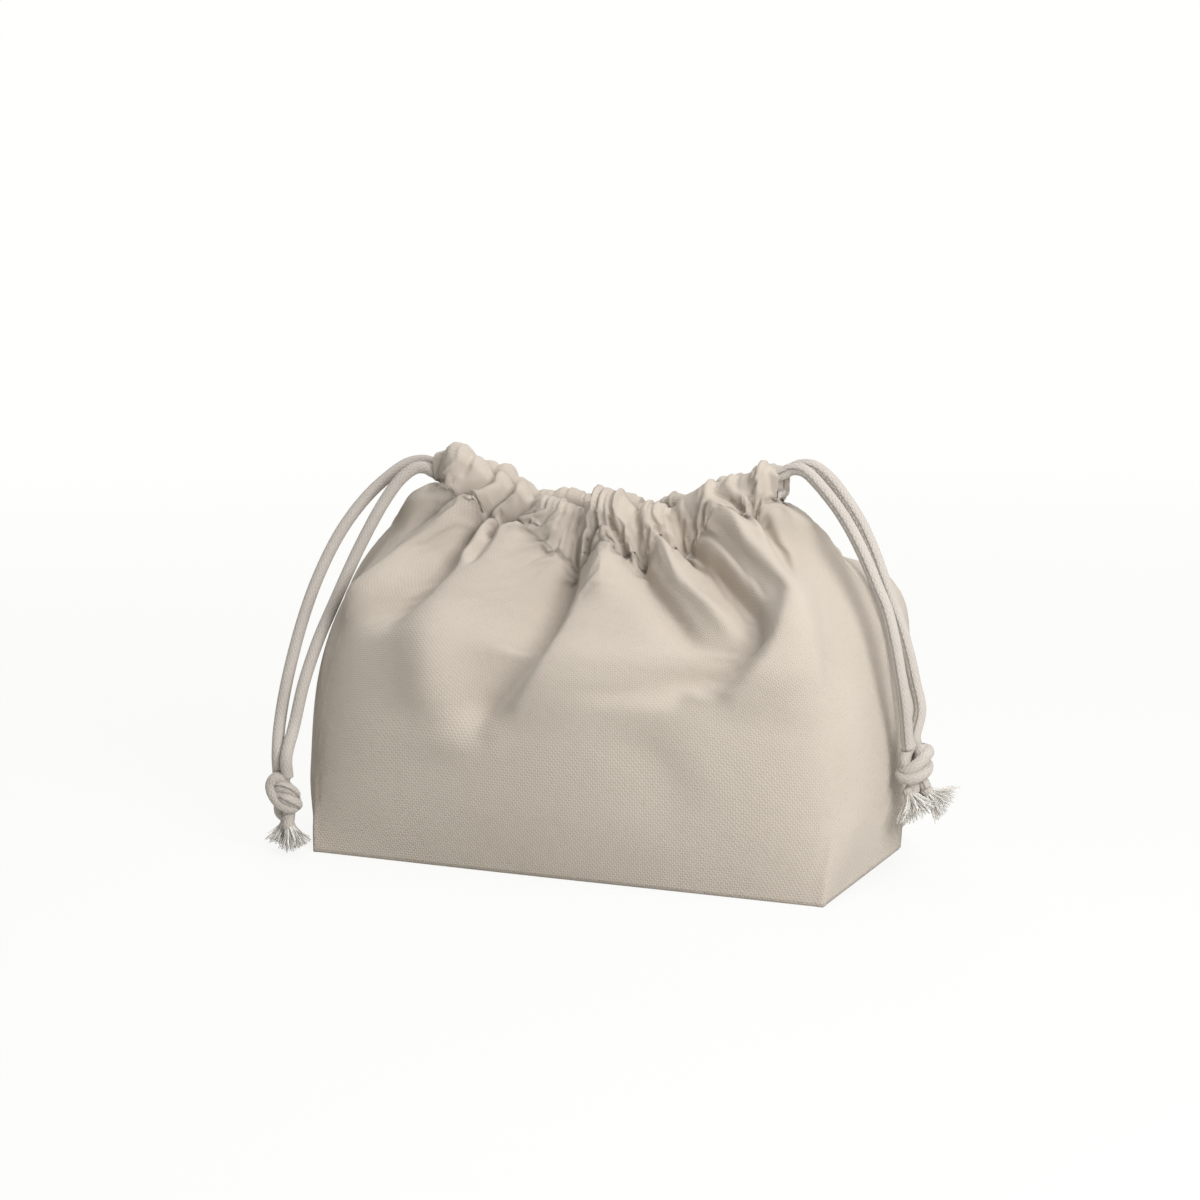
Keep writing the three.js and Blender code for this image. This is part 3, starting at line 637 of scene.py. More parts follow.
FRONT_CREASES = (
    Fold(((1.02, -0.02), (1.06, -0.01), (1.12, 0.01)), -1.8, 0.012, 0.010, 0.05),
    Fold(((0.98, 0.305), (1.12, 0.29)), -1.8, 0.009, 0.009, 0.06),
    Fold(((0.94, 0.355), (1.12, 0.34)), -1.8, 0.009, 0.009, 0.06),
    Fold(((1.03, 0.71), (1.07, 0.65), (1.12, 0.56)), -2.6, (0.016, 0.014), (0.014, 0.012), 0.03),
    Fold(((1.08, -0.70), (1.12, -0.68)), -2.2, 0.014, 0.012, 0.03, rim=1.0),
    Fold(((0.985, -0.015), (1.04, 0.0), (1.085, 0.04)), -2.0, 0.013, 0.012, 0.05,
         end=1.105, fade=0.02, rim=1.0),
    Fold(((0.96, 0.145), (1.04, 0.14), (1.085, 0.11)), -2.0, 0.013, 0.012, 0.05,
         end=1.105, fade=0.02, rim=1.0),
    Fold(((1.02, -0.27), (1.05, -0.23), (1.11, -0.16)), -1.8, 0.013, 0.011, 0.04),
    Fold(((1.00, -0.15), (1.12, -0.12)), -1.6, 0.011, 0.011, 0.05),
    Fold(((1.00, -0.10), (1.08, -0.09)), -1.4, 0.009, 0.009, 0.05, end=1.12, fade=0.05),
    Fold(((0.97, 0.145), (1.06, 0.155)), -1.5, 0.010, 0.010, 0.06),
    Fold(((1.04, 0.23), (1.12, 0.235)), -1.2, 0.008, 0.008, 0.05),
    Fold(((0.98, 0.44), (1.12, 0.42)), -1.0, 0.012, 0.012, 0.06),
    *SEAM_CREASES,
)

BACK_FOLDS = (
    Fold(((0.60, -0.48), (0.84, -0.50), (1.12, -0.54)), 5.5, (0.08, 0.06), (0.07, 0.05), 0.16),
    Fold(((0.54, -0.35), (0.80, -0.40), (1.12, -0.44)), -7.5, (0.08, 0.03), (0.04, 0.024), 0.14,
         0.7, pinch=5.0),
    Fold(((0.52, -0.24), (0.80, -0.28), (1.12, -0.31)), 5.0, (0.06, 0.05), (0.08, 0.06), 0.16, brace=3.5),
    Fold(((0.40, -0.08), (0.70, -0.15), (1.12, -0.19)), -8.5, (0.05, 0.024), (0.11, 0.04), 0.14,
         0.7, pinch=5.5),
    Fold(((0.46, 0.05), (0.76, -0.01), (1.12, -0.05)), 5.5, 0.06, (0.12, 0.07), 0.16, brace=4.0),
    Fold(((0.36, 0.24), (0.66, 0.17), (1.12, 0.11)), -8.5, (0.11, 0.04), (0.05, 0.024), 0.14,
         0.7, pinch=5.5),
    Fold(((0.56, 0.31), (1.12, 0.25)), 5.0, (0.06, 0.05), (0.06, 0.05), 0.16, brace=3.5),
    Fold(((0.52, 0.44), (0.80, 0.41), (1.12, 0.40)), -7.0, (0.05, 0.026), (0.05, 0.026), 0.14,
         0.7, pinch=5.0),
    Fold(((0.62, 0.54), (1.12, 0.54)), 5.5, 0.06, (0.08, 0.07), 0.16, brace=4.0),
    Fold(((0.74, 0.66), (1.12, 0.72)), -4.5, (0.05, 0.03), (0.05, 0.03), 0.12, 0.8, pinch=4.0),
    Fold(((0.76, -0.68), (1.12, -0.72)), -4.5, (0.05, 0.03), (0.05, 0.03), 0.12, 0.8, pinch=4.0),
    Fold(((0.10, 0.05), (0.35, 0.0)), 2.5, 0.3, 0.3, 0.2, end=0.55),
    Fold(((0.03, -0.62), (0.20, -0.68), (0.62, -0.70)), 4.0, (0.15, 0.16), 0.15, 0.06, end=0.84,
         fade=0.26),
    Fold(((0.44, -0.70), (0.70, -0.70)), 7.0, 0.15, 0.15, 0.2, end=0.80, fade=0.2),
    Fold(((0.25, 0.76), (0.60, 0.74)), 5.0, 0.14, 0.14, 0.3, end=0.70, fade=0.3),
    Fold(((0.90, 0.88), (1.12, 0.86)), 2.0, 0.12, 0.12, 0.14),
    Fold(((0.90, -0.88), (1.12, -0.86)), 2.0, 0.12, 0.12, 0.14),
)

BACK_CREASES = (
    *(Fold(((0.98, low), (1.12, high)), depth, width, width, 0.06)
      for low, high, depth, width in (
          (-0.62, -0.58, -1.8, 0.014), (-0.36, -0.38, -1.8, 0.010), (-0.12, -0.13, -1.8, 0.010),
          (0.03, 0.01, -1.5, 0.010), (0.18, 0.19, -1.8, 0.010), (0.33, 0.33, -1.8, 0.010),
          (0.62, 0.60, -1.8, 0.014))),
    *SEAM_CREASES,
)


@dataclass
class FilledForm:
    """The smooth form of the filled bag, before its folds."""

    base_width: float = 216.0
    base_depth: float = 112.0
    seam_bulge: float = 16.0
    belly: float = 4.0
    shoulder: float = 88.0
    casing_half_length: float = 66.0
    slide_start: float = 41.0
    mouth_straight: float = 12.0
    mouth_half_width: float = 13.0
    neck_half_width: float = 5.0
    casing_slope: float = 0.45
    casing_middle: float = 132.0
    casing_slide: float = 139.95
    casing_height: float = 18.0
    corner_fade: float = 0.16
    foot: float = 0.2
    neck_fill: float = 7.5
    rim_fill: float = 4.6
    rim_lean: float = 6.0
    stitch_gap: float = 0.3
    seam_reach: float = 8.0

    def casing_out(self, x: Points) -> Points:
        """Distance of a casing's centre line from the bag's middle plane, in mm."""
        closed = smooth((np.abs(x) - self.mouth_straight) / (self.slide_start - self.mouth_straight))
        return lerp(self.mouth_half_width, self.neck_half_width, closed)

    def casing_up(self, x: Points) -> Points:
        """Height of a casing's centre line, in mm."""
        away = np.abs(x)
        t = np.clip(away / self.slide_start, 0, 1)
        rise = (self.casing_slide - self.casing_middle) * (3 * t**2 - 2 * t**3)
        curved = self.casing_middle + rise + self.casing_slope * self.slide_start * (t**3 - t**2)
        straight = self.casing_slide + self.casing_slope * (away - self.slide_start)
        return np.where(away >= self.slide_start, straight, curved)

    def stitch_height(self, x: Points) -> Points:
        """Height of the stitch line under a casing, in mm."""
        return self.casing_up(x) - self.casing_height / 2 - self.stitch_gap

    @property
    def seam_top(self) -> float:
        """Distance of a seam's upper end from the bag's middle, in mm."""
        return self.casing_half_length + self.seam_reach

    def round_end(self, x: Points) -> Points:
        """Share of its width that the casing has left where it rounds off towards the seams."""
        past = np.clip((np.abs(x) - self.casing_half_length + 4) / 12, 0, 1)
        return np.sqrt(1 - past**2)

    def _lines(self) -> Points:
        """Lines up the right half of the front: middle, quarter, corner, side and seam."""
        width, depth = self.base_width / 2, self.base_depth / 2
        seam, belly, up = width + self.seam_bulge, depth + self.belly, self.shoulder
        low = 0.38 * up

        def top(share: float) -> list:
            """Where a line meets the casing."""
            x = share * self.casing_half_length
            return [x, float(self.casing_out(x)) + self.neck_fill, float(self.stitch_height(x))]

        end = self.seam_top
        return np.array([
            [[0, depth, 0], [0, belly, low], [0, belly, 0.75 * up], [0, belly - 6, up],
             [0, belly - 18, up + 12], [0, belly - 30, up + 22], top(0)],
            [[54, depth, 0], [55, belly - 1, low], [54, belly - 1, 0.77 * up], [51, belly - 7, up + 4],
             [46, belly - 20, up + 18], [37, belly - 31, up + 28], top(0.38)],
            [[width, depth, 0], [width + 3, depth - 2, low - 2], [width, depth - 4, 0.73 * up],
             [width - 7, depth - 7, up + 4], [width - 17, depth - 15, up + 20],
             [width - 36, depth - 33, up + 33], top(0.73)],
            [[width + 8, depth / 2, 5], [seam - 5, depth / 2, low + 2], [seam - 8, depth / 2, 0.8 * up],
             [seam - 17, depth / 2 - 2, up + 10], [seam - 28, depth / 2 - 7, up + 26],
             [seam - 43, depth / 2 - 15, up + 42], top(0.955)],
            [[seam, 0, 10], [seam + 1, 0, low + 3], [seam - 3, 0, 0.83 * up], [seam - 6, 0, up + 11],
             [seam - 15, 0, up + 30], [seam - 31, 0, up + 44], [end, 0, float(self.stitch_height(end))]],
        ], float)

    def surface(self, across: Points, levels: Points) -> Points:
        """The front's outer face.

        Args:
            across: places from -1 at the left seam to 1 at the right one.
            levels: from 0 at the base to 1 at the casing.

        Returns:
            Array (places, levels, 3) in mm.
        """
        rows = catmull(self._lines(), levels)
        whole = np.concatenate([rows[1:][::-1] * [-1, 1, 1], rows])
        by_level = np.moveaxis(whole, 0, 1)
        where = (np.asarray(across) + 1) / 2
        rounded = catmull(by_level, where)
        spans = whole.shape[0] - 1
        reach = np.clip(where * spans, 0, spans - 1e-9)
        index = reach.astype(int)
        f = (reach - index)[:, None]
        straight = by_level[:, index] * (1 - f) + by_level[:, index + 1] * f
        points = lerp(straight, rounded, smooth(levels / self.corner_fade)[:, None, None])
        points = np.moveaxis(points, 0, 1).copy()
        pull = (levels**14)[None, :]
        points[..., 2] = lerp(points[..., 2], self.stitch_height(points[..., 0]), pull)
        neck = (self.casing_out(points[..., 0]) + self.neck_fill) * self.round_end(points[..., 0])
        points[..., 1] = lerp(points[..., 1], neck, pull**2)
        points[..., 2] += self.foot * (1 - smooth(points[..., 2] / self.shoulder))
        points[..., 1] *= -1
        return points


@dataclass
class BagCloth:
    """The bag's cloth as one grid round the bag: the front's columns, then the back's.

    Fold depths and the corner's width are in mm and columns. Hold is how firmly the cloth keeps
    its drawn form while it relaxes, and growth the share by which it grows above full_from.
    """

    form: FilledForm = field(default_factory=FilledForm)
    face_columns: int = 44
    side_columns: int = 20
    body_rows: int = 52
    casing_rows: int = 8
    pleats: int = 17
    pleat_depth: float = 0.7
    deepest_valley: float = 9.0
    growth: float = 0.012
    full_from: float = 0.65
    hold: float = 0.75
    frames: int = 12
    cut_height: float = 0.170
    corner_width: float = 3.4

    def __post_init__(self) -> None:
        """Sets the places of the columns and rows."""
        half = np.concatenate([np.linspace(0, 0.5, self.face_columns + 1),
                               np.linspace(0.5, 1, self.side_columns + 1)[1:]])
        self.across = np.concatenate([-half[:0:-1], half[:-1]])
        self.levels = np.linspace(0, 1, self.body_rows + 1)
        self.casing_shares = np.arange(1, self.casing_rows + 1) / self.casing_rows
        self.all_levels = np.concatenate([self.levels, 1 + RIM * self.casing_shares])
        self.panel_columns = len(self.across)
        self.rows = self.body_rows + 1 + self.casing_rows

    def flat_across(self) -> Points:
        """Each column's distance along the flat cloth from the panel's middle, in metres."""
        face, side = self.form.base_width * MM / 2, self.form.base_depth * MM / 2
        away = np.abs(self.across)
        flat = np.where(away < 0.5, away / 0.5 * face, face + (away - 0.5) / 0.5 * side)
        return np.sign(self.across) * flat

    def _pleats(self, across: Points, levels: Points, seed: int) -> Points:
        """Small uneven gathers at the stitch line and in the casing, in mm."""
        rng = np.random.default_rng(seed)
        marks = np.linspace(-1, 1, 2 * self.pleats + 1)
        drift = rng.uniform(-0.3, 0.3, len(marks))
        size = rng.uniform(0.4, 1.2, len(marks))
        phase = self.pleats * (across + 1) + np.interp(across, marks, drift)
        wave = np.cos(np.pi * phase) * np.interp(across, marks, size)
        near = smooth((levels - 0.90) / 0.10)
        calm = 1 - 0.8 * smooth((np.abs(across) - 0.62) / 0.12)
        return self.pleat_depth * (wave * calm)[:, None] * near[None, :]

    def _soften(self, body: Points) -> Points:
        """Rounds the standing corners of the filled body between its foot and its shoulders."""
        reach = 9
        ends = [body[1 : reach + 1][::-1], body[-reach - 1 : -1][::-1]]
        wide = np.concatenate([ends[0] * [1, -1, 1], body, ends[1] * [1, -1, 1]])
        kernel = np.exp(-0.5 * (np.arange(-reach, reach + 1) / self.corner_width) ** 2)
        kernel /= kernel.sum()
        rounded = sum(k * wide[i : i + len(body)] for i, k in enumerate(kernel))
        share = smooth((self.levels - 0.02) / 0.22) * (1 - smooth((self.levels - 0.72) / 0.15))
        return lerp(body, rounded, share[None, :, None])

    def _with_casing(self, body: Points, across: Points) -> Points:
        """Adds the casing's rows, which lean from the stitch line to the rim, in mm."""
        form = self.form
        x = body[:, -1, 0]
        ends = np.clip((np.abs(across) - 0.86) / 0.14, 0, 1)
        rise = 16.0 - 1.5 * smooth((np.abs(x) - 55) / 20)
        rows = [body]
        for share in self.casing_shares:
            leant = x - form.rim_lean * share * np.sin(np.pi * np.clip(x / form.seam_top, -1, 1))
            fill = lerp(form.neck_fill, form.rim_fill, share) + 0.6 * math.sin(math.pi * share)
            out = (form.casing_out(leant) + fill) * form.round_end(leant)
            up = rise * share * (1 - 0.22 * ends**2)
            rows.append(np.stack([leant, -out, form.stitch_height(leant) + up], axis=1)[:, None])
        return np.concatenate(rows, axis=1)

    def _lift_ways(self, grid: Points) -> Points:
        """The way that folds lift each vertex: square to the cloth, then up and out to the rim."""
        levels = self.all_levels
        at_stitches, at_rim = np.array([0.0, -0.45, 0.89]), np.array([0.0, -0.7, 0.71])
        leaning = lerp(at_stitches, at_rim, smooth((levels - 1) / RIM)[None, :, None])
        ways = lerp(grid_normals(grid), leaning, smooth((levels - 0.88) / 0.08)[None, :, None])
        ways[[0, -1], :, 1] = 0
        return unit(ways)

    def _panel(self, folds: Sequence[Fold], seed: int) -> Points:
        """One panel with its folds and its half of the casing, facing the front, in metres."""
        across, levels = np.append(self.across, 1.0), self.all_levels
        grid = self._with_casing(self._soften(self.form.surface(across, self.levels)), across)
        grid[[0, -1], :, 1] = 0
        lift = sum(fold.over(across, levels) for fold in folds) + self._pleats(across, levels, seed)
        deepest = lerp(-self.deepest_valley, -self.form.neck_fill, smooth((levels - 0.92) / 0.07))
        seam_share = lerp(0.08, 0.2, smooth((levels - 0.88) / 0.1))
        fade = smooth((1 - np.abs(across))[:, None] / seam_share[None, :])
        lift = np.maximum(lift, deepest[None, :]) * fade
        grid = grid + self._lift_ways(grid) * lift[..., None]
        grid[[0, -1], :, 1] = 0
        return grid[:-1] * MM

    def off_the_cords(self, ring: Points, levels: Points, across: Points) -> Points:
        """Keeps the casings' cloth off the cords inside, and the stitch lines off the middle.

        Args:
            ring: the refined grid in metres.
            levels: level of each row.
            across: place of each column of one panel.

        Returns:
            The grid with the cloth moved outwards where it was too near.
        """
        x = ring[..., 0] / MM
        up = ring[..., 2] / MM - self.form.casing_up(x)
        least = self.form.casing_out(x) + lerp(0.6, 3.3, smooth((up + 9.8) / 3.0))
        sides = np.where(np.arange(len(ring)) < len(across), Side.FRONT.value, Side.BACK.value)[:, None]
        open_share = np.tile(smooth((1 - np.abs(across)) / 0.1), 2)[:, None]
        out = ring[..., 1] / MM * sides
        near = (levels[None, :] > 0.975) & (out < least * open_share)
        moved = ring.copy()
        moved[..., 1] = np.where(near, least * open_share * sides * MM, ring[..., 1])
        return moved

    def creases(self, levels: Points, across: Points) -> Points:
        """Fine creases of the whole ring in mm, over the refined grid's levels and places."""
        front = sum(crease.over(across, levels) for crease in FRONT_CREASES)
        back = sum(crease.over(across, levels) for crease in BACK_CREASES)
        return np.concatenate([front, back])

    def start(self) -> Points:
        """The whole grid before it relaxes: array (columns, rows, 3) in metres."""
        front = self._panel(FRONT_FOLDS, 3)
        back = self._panel(BACK_FOLDS, 8) * [-1, -1, 1]
        return np.concatenate([front, back])

    def grain(self) -> Points:
        """Place of every vertex on the flat cloth, in metres, counted on round to the first seam."""
        flat = self.flat_across()
        whole = (self.form.base_width + self.form.base_depth) * MM
        round_it = np.concatenate([flat, flat + whole, flat[:1] + 2 * whole])
        height = self.cut_height * np.arange(self.rows) / self.body_rows
        return np.stack(np.broadcast_arrays(round_it[:, None], height[None, :]), axis=-1)

    def _at_work(self, grid: Points) -> bpy.types.Object:
        """Makes the cloth that the simulation moves, firmly held at the base."""
        columns, rows = grid.shape[:2]
        shape = Shape()
        shape.add(grid.reshape(-1, 3), grid_faces(columns, rows, closed=True))
        obj = shape.build("cloth_at_work")
        held = np.full((columns, rows), self.hold)
        held[:, 0] = 1.0
        level = np.arange(rows) / self.body_rows
        firm = np.broadcast_to(1 - smooth((level - self.full_from) / 0.4), (columns, rows))
        for name, weights in (("held", held), ("firm", firm)):
            group = obj.vertex_groups.new(name=name)
            for index, weight in enumerate(weights.ravel()):
                group.add([index], float(weight), "REPLACE")
        cloth = obj.modifiers.new("cloth", "CLOTH")
        s = cloth.settings
        s.quality = 6
        s.mass = 0.15
        s.air_damping = 2.0
        s.tension_stiffness = s.compression_stiffness = 25.0
        s.shear_stiffness = 12.0
        s.bending_stiffness = 30.0
        s.tension_damping = s.compression_damping = s.shear_damping = 8.0
        s.bending_damping = 0.8
        s.vertex_group_mass = "held"
        s.pin_stiffness = 3.0
        s.vertex_group_shrink = "firm"
        s.shrink_min, s.shrink_max = -self.growth, 0.0
        s.use_pressure = True
        s.uniform_pressure_force = 1.0
        s.effector_weights.gravity = 0.02
        cloth.collision_settings.use_self_collision = True
        cloth.collision_settings.self_distance_min = 0.0012
        cloth.collision_settings.use_collision = False
        cloth.point_cache.frame_start = 1
        cloth.point_cache.frame_end = self.frames
        return obj

    def relaxed(self) -> Points:
        """Lets the cloth relax in a short simulation.

        Returns:
            The grid afterwards.
        """
        grid = self.start()
        obj = self._at_work(grid)
        scene = bpy.context.scene
        for number in range(1, self.frames + 1):
            scene.frame_set(number)
        result = obj.evaluated_get(bpy.context.evaluated_depsgraph_get()).to_mesh()
        co = np.zeros(len(result.vertices) * 3, np.float32)
        result.vertices.foreach_get("co", co)
        scene.frame_set(1)
        bpy.data.objects.remove(obj)
        settled = co.reshape(grid.shape).astype(float)
        moved = np.linalg.norm(settled - grid, axis=2)
        LOG.info("cloth moved %.1f mm on average, %.1f mm at most", moved.mean() * 1e3, moved.max() * 1e3)
        return settled


@dataclass
class BagBody:
    """Panels, casings, base and seams, cut from the relaxed cloth.

    Sizes without a unit are in mm: the cord's room in a casing, the step of the weave round the hem,
    how deep a casing's mouth goes in, the tape and its gap to the cloth, the thread's radius, and
    the base, which lies flat as far out as base_flat.
    """

    cloth: BagCloth = field(default_factory=BagCloth)
    factor: int = 2
    thickness: float = 1.0 * MM
    cord_room: float = 3.2
    hem_step: float = 1.4
    mouth_depth: float = 4.0
    mouth_share: float = 0.76
    tape_thickness: float = 1.2
    tape_gap: float = 0.3
    thread_radius: float = 0.2
    bars: int = 9
    base_flat: float = 92.0
    base_lift: float = 10.0
    base_thickness: float = 1.2
    canvas: CanvasFinish = CanvasFinish("unbleached_canvas")
    hem: CanvasFinish = CanvasFinish("hem_canvas", colour=(0.572, 0.508, 0.436))
    tape: CanvasFinish = CanvasFinish("binding_tape", colour=(0.56, 0.49, 0.41), pitch=0.8 * MM)
    thread: FibreFinish = FibreFinish("sewing_thread", colour=(0.60, 0.53, 0.45), shade=(0.52, 0.45, 0.38))

    def _lay_out(self) -> None:
        """Refines the relaxed cloth and keeps its points, normals and grain, the first column twice."""
        cloth = self.cloth
        fine = refine(cloth.relaxed(), self.factor, closed=True)
        ends = np.append(cloth.across, 1.0)
        steps = np.arange(self.factor) / self.factor
        across = (ends[:-1, None] + np.diff(ends)[:, None] * steps).ravel()
        levels = np.interp(np.arange(fine.shape[1]) / self.factor, np.arange(cloth.rows), cloth.all_levels)
        fine = fine + grid_normals(fine, closed=True) * cloth.creases(levels, across)[..., None] * MM
        fine = cloth.off_the_cords(fine, levels, across)
        normals = grid_normals(fine, closed=True)
        self.ring = np.concatenate([fine, fine[:1]])
        self.normals = np.concatenate([normals, normals[:1]])
        grain = cloth.grain()
        deep = np.concatenate([grain, np.zeros((*grain.shape[:2], 1))], axis=-1)
        self.grain = refine(deep, self.factor, closed=False)[..., :2]

    def build(self) -> None:
        """Makes every piece of the body."""
        self._lay_out()
        canvas = self.canvas.material()
        hem = self.hem.material()
        tape = self.tape.material()
        thread = self.thread.material()
        span = self.cloth.panel_columns * self.factor
        stitch = self.cloth.body_rows * self.factor
        for side, first in ((Side.FRONT, 0), (Side.BACK, span)):
            part = slice(first, first + span + 1)
            self._panel(side, part, stitch, canvas)
            self._casing(side, part, stitch, hem)
            self._stitches(side, part, stitch, thread)
        self._base(canvas)
        self._seam_tape("base", "base_binding", np.arange(len(self.ring)), slice(1, 7), tape)
        for hand, seam in ((Hand.LEFT, 0), (Hand.RIGHT, span)):
            columns = (seam + np.arange(-3, 4)) % (2 * span)
            self._seam_tape(hand.word, f"{hand.word}_side_binding", columns, slice(4, stitch - 1), tape)

    def _panel(self, side: Side, part: slice, stitch: int, material: bpy.types.Material) -> None:
        """Makes one panel from its base edge to the stitch line."""
        outer = self.ring[part, : stitch + 1]
        inner = outer - self.normals[part, : stitch + 1] * self.thickness
        shape = Shape()
        add_slab(shape, outer, inner, self.grain[part, : stitch + 1])
        obj = fit_piece(shape, f"{side.word}_canvas_panel", material, "root", f"{side.word}_panel")
        LOG.info("%s: %d faces", obj.name, len(obj.data.polygons))

    def _casing_profile(self, side: Side, part: slice, stitch: int) -> Points:
        """Lines round the casing's section: up the gathered outside, over the rim, down the hem."""
        form = self.cloth.form
        outer = self.ring[part, stitch:].copy()
        x = outer[..., 0] / MM
        rows = np.arange(outer.shape[1])
        clear = (form.casing_out(x) + self.cord_room) * smooth(rows / self.factor / 2.5)[None, :]
        out = np.maximum(side.value * outer[..., 1] / MM, clear)
        outer[..., 1] = side.value * out * MM
        inner = outer.copy()
        inward = form.casing_out(x) - form.casing_height / 4 - 0.4
        inward = inward - 0.3 * (out - form.casing_out(x) - form.neck_fill)
        closed = smooth((np.abs(x) - 40) / 10)
        least = 0.1 * closed + 2.0 * (1 - closed)
        inner[..., 1] = side.value * np.maximum(np.minimum(inward, 0.5 * out), least) * MM
        top = outer[:, -1]
        centre = (top + inner[:, -1]) / 2
        half = np.abs(top[:, 1] - inner[:, -1, 1]) / 2
        rim = []
        for angle in np.linspace(0, np.pi, 7)[1:-1]:
            point = centre.copy()
            point[:, 1] += side.value * half * np.cos(angle)
            point[:, 2] += half * 0.7 * np.sin(angle)
            rim.append(point)
        return np.concatenate([outer, np.stack(rim, axis=1), inner[:, ::-1]], axis=1)

    def _casing(self, side: Side, part: slice, stitch: int, material: bpy.types.Material) -> None:
        """Makes one casing: the gathered outer layer, its rounded rim and the turned-in hem."""
        profile = self._with_mouths(self._casing_profile(side, part, stitch))
        columns, count = profile.shape[:2]
        along = np.pad(self.grain[part, stitch], ((2, 2), (0, 0)), mode="edge")
        run = along[:, 1:] + np.arange(count)[None, :] * self.hem_step * MM
        coordinates = np.stack(np.broadcast_arrays(along[:, :1], run), axis=-1)
        faces = grid_faces(columns, count)
        faces += [[i * count, i * count + count - 1, (i + 1) * count + count - 1, (i + 1) * count]
                  for i in range(columns - 1)]
        faces.append(list(range(count)))
        faces.append([(columns - 1) * count + k for k in range(count)][::-1])
        shape = Shape()
        shape.add(profile.reshape(-1, 3), faces, coordinates.reshape(-1, 2))
        obj = fit_piece(shape, f"{side.word}_gathered_casing", material, "root", f"{side.word}_casing")
        LOG.info("%s: %d faces", obj.name, len(obj.data.polygons))

    def _with_mouths(self, profile: Points) -> Points:
        """Adds the lip and the hollow of the opening at both ends of a casing."""
        added = []
        for end in (profile[0], profile[-1]):
            centre = end.mean(axis=0)
            lip = centre + (end - centre) * self.mouth_share
            added.append((lip, lip - [np.sign(centre[0]) * self.mouth_depth * MM, 0, 0]))
        (first, first_deep), (last, last_deep) = added
        return np.concatenate([[first_deep, first], profile, [last, last_deep]])

    def _stitches(self, side: Side, part: slice, stitch: int, material: bpy.types.Material) -> None:
        """Makes the row of stitches under one casing, and the bartacks at its two ends."""
        line = self.ring[part, stitch] + self.normals[part, stitch] * 0.08 * MM
        shape = Shape()
        for k in range(3, len(line) - 6, 4):
            add_tube(shape, line[k : k + 4], self.thread_radius * MM, 5)
        casing_word = f"{side.word}_casing"
        fit_piece(shape, f"{casing_word}_stitches", material, "root", f"{casing_word}_stitching")
        casing = self.ring[part, stitch:].reshape(-1, 3)
        facing = self.normals[part, stitch:].reshape(-1, 3)
        for hand in Hand:
            node = f"{hand.word}_{side.word}_bartack"
            low, high = (np.array(c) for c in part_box(node))
            centre = (low + high) / 2
            bar = Shape()
            for k in range(self.bars):
                at = centre + [(k / (self.bars - 1) - 0.5) * 5 * MM, 0, 0]
                ends = []
                for up in (-2.0, 0.0, 2.0):
                    flat = (casing - (at + [0, 0, up * MM])) * [1, 0.35, 1]
                    near = np.argsort(np.linalg.norm(flat, axis=1))[:4]
                    ends.append(casing[near].mean(axis=0) + facing[near].mean(axis=0) * 0.1 * MM)
                add_tube(bar, np.array(ends), self.thread_radius * MM, 5)
            fit_piece(bar, f"{node}_stitches", material, "root", node)

    def _seam_tape(self, word: str, node: str, columns: Points, rows: slice,
                   material: bpy.types.Material) -> None:
        """Makes the tape that covers a seam on the inside.

        Args:
            word: which seam it is.
            node: the solid that it replaces.
            columns: the columns of cloth that it lies on.
            rows: the rows of cloth that it lies on.
            material: its finish.
        """
        away = self.normals[columns, rows]
        outer = self.ring[columns, rows] - away * (self.thickness + self.tape_gap * MM)
        shape = Shape()
        add_slab(shape, outer, outer - away * self.tape_thickness * MM, self.grain[columns, rows])
        fit_piece(shape, f"{word}_seam_tape", material, "root", node)

    def _base(self, material: bpy.types.Material) -> None:
        """Makes the base panel, flat where it rests and drawn up towards the side seams."""
        form = self.cloth.form
        a, b = np.meshgrid(np.linspace(-1, 1, 121), np.linspace(-1, 1, 61), indexing="ij")
        reach = form.base_width / 2 + form.seam_bulge * (1 - np.abs(b))
        inset = self.thickness / MM + 0.4
        x = a * (reach - inset)
        rise = np.clip((np.abs(x) - self.base_flat) / (reach - self.base_flat), 0, 1) ** 1.5
        z = self.base_lift * (1 - np.abs(b)) * rise
        low = np.stack([x, b * (form.base_depth / 2 - inset), z + 0.05], axis=-1) * MM
        shape = Shape()
        add_slab(shape, low + [0, 0, self.base_thickness * MM], low, low[..., :2])
        obj = fit_piece(shape, "base_canvas_panel", material, "root", "base_panel")


# ---------------------------------------------------------------------- cords


@dataclass(frozen=True)
class TailEnd:
    """Where one tail of a cord's knot goes: its tip, and the end of its loose fibres."""

    tip: tuple
    end: tuple


@dataclass(frozen=True)
class Turn:
    """One turn of cord in a knot, through points (sideways, away, up) in mm as the front sees it."""

    points: tuple
    closed: bool = False

    def line(self) -> Points:
        """The smooth line of the turn; a closed one runs on over its own start."""
        listed = [*self.points, *self.points[:2]] if self.closed else self.points
        return smooth_line(listed, 0.8)


